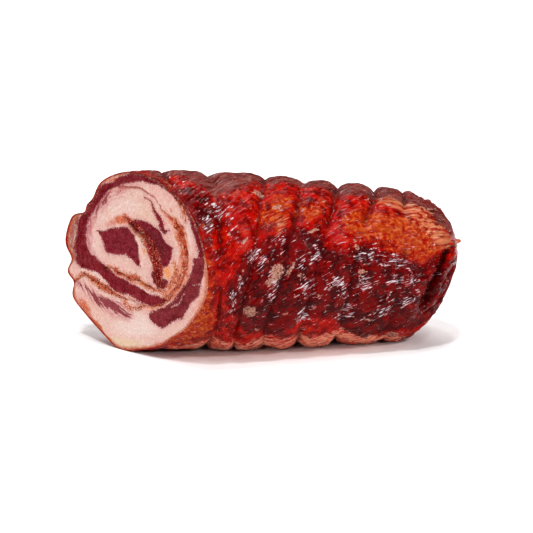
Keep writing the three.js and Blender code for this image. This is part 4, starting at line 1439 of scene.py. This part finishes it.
# %% Floor
FLOOR_HALF = 8.0
floor_mesh = bpy.data.meshes.new("floor")
corners = [(x * FLOOR_HALF, y * FLOOR_HALF, 0) for x, y in ((-1, -1), (1, -1), (1, 1), (-1, 1))]
floor_mesh.from_pydata(corners, [], [(0, 1, 2, 3)])
floor = bpy.data.objects.new("floor", floor_mesh)
bpy.context.scene.collection.objects.link(floor)
floor_finish = Finish("white table")
floor_finish.set(Base_Color=(0.93, 0.93, 0.93), Roughness=0.9, Specular_IOR_Level=0.1)
floor_mesh.materials.append(floor_finish.material)
print("floor:", 2 * FLOOR_HALF, "m square")

# %% [markdown]
# Far lamps stand in for small softboxes. The wet coat mirrors each as a small bright disc, so
# a crease that turns towards one glints. Two carry most of the light from the front, one wide
# lamp fills in from behind, and seven weak ones add glints. The white sky is kept weak and
# the look has more contrast, because a bright sky would veil the dark meat.

# %% Lights
def aim(thing, at):
    thing.rotation_euler = (Vector(at) - thing.location).to_track_quat("-Z", "Y").to_euler()


def far_lamp(number, around, above, strength, width):
    """A softbox far away: degrees to the right of straight in front, degrees up, W/m2, degrees wide."""
    lamp = bpy.data.lights.new(f"lamp {number}", "SUN")
    lamp.energy, lamp.angle = strength, np.radians(width)
    thing = bpy.data.objects.new(lamp.name, lamp)
    a, e = np.radians(around), np.radians(above)
    thing.location = (np.sin(a) * np.cos(e), -np.cos(a) * np.cos(e), np.sin(e))
    bpy.context.scene.collection.objects.link(thing)
    aim(thing, (0, 0, 0))


LAMPS = [(30, 40, 0.9, 6), (-30, 66, 1.1, 6), (170, 62, 1.0, 40), (-34, 20, 0.3, 3), (58, 16, 0.3, 3),
         (-72, 42, 0.3, 4), (8, 24, 0.3, 3), (-104, 10, 0.4, 4), (12, 58, 0.3, 3), (-8, 84, 0.3, 3)]
SKY_STRENGTH = 0.12
for number, lamp in enumerate(LAMPS):
    far_lamp(number, *lamp)
sky = bpy.data.worlds.new("white sky")
sky.use_nodes = True
sky.node_tree.nodes["Background"].inputs["Color"].default_value = (1, 1, 1, 1)
sky.node_tree.nodes["Background"].inputs["Strength"].default_value = SKY_STRENGTH
bpy.context.scene.world = sky
bpy.context.scene.view_settings.view_transform = "Standard"
bpy.context.scene.view_settings.look = "Medium High Contrast"
print("light:", len(LAMPS), "far lamps, and a white sky of strength", SKY_STRENGTH)

# %% [markdown]
# The camera stands a metre away, a little above the roll and turned towards its cut end, as
# in the photo. Its focal length makes one pixel 0.54 mm at the middle of the roll.

# %% Camera
AZIMUTH, ELEVATION, DISTANCE = np.radians(-13.5), np.radians(12), 1000.0
FOCAL_PIXELS, FRAME_PIXELS, SENSOR = 1852.0, 533, 36.0
LOOK_AT, AIM_RIGHT, AIM_DOWN = np.array([0, 0, 46.0]), 2.7, 1.9
back_way = np.array([np.sin(AZIMUTH) * np.cos(ELEVATION), -np.cos(AZIMUTH) * np.cos(ELEVATION),
                     np.sin(ELEVATION)])
right_way = np.array([np.cos(AZIMUTH), np.sin(AZIMUTH), 0])
up_way = np.cross(back_way, right_way)
aimed = LOOK_AT + FRAME_SHIFT + AIM_RIGHT * right_way - AIM_DOWN * up_way
camera = bpy.data.objects.new("camera", bpy.data.cameras.new("camera"))
camera.data.sensor_width = SENSOR
camera.data.lens = SENSOR * FOCAL_PIXELS / FRAME_PIXELS
camera.location = Vector((aimed + back_way * DISTANCE) / PER_METRE)
aim(camera, aimed / PER_METRE)
bpy.context.scene.collection.objects.link(camera)
bpy.context.scene.camera = camera
print("camera:", [round(v, 3) for v in camera.location], "lens", round(camera.data.lens, 1), "mm")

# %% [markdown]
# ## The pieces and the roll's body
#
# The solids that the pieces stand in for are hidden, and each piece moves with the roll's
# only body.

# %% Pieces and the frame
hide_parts("belly_fat")
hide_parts("lean_layer", "lean_heart_left", "lean_heart_right")
for piece, slot in ((casing, "casing_and_fat"), (face, "lean_meat"), (crumbs, "lean_meat"),
                    (tail, "casing_and_fat")):
    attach(piece, "root")
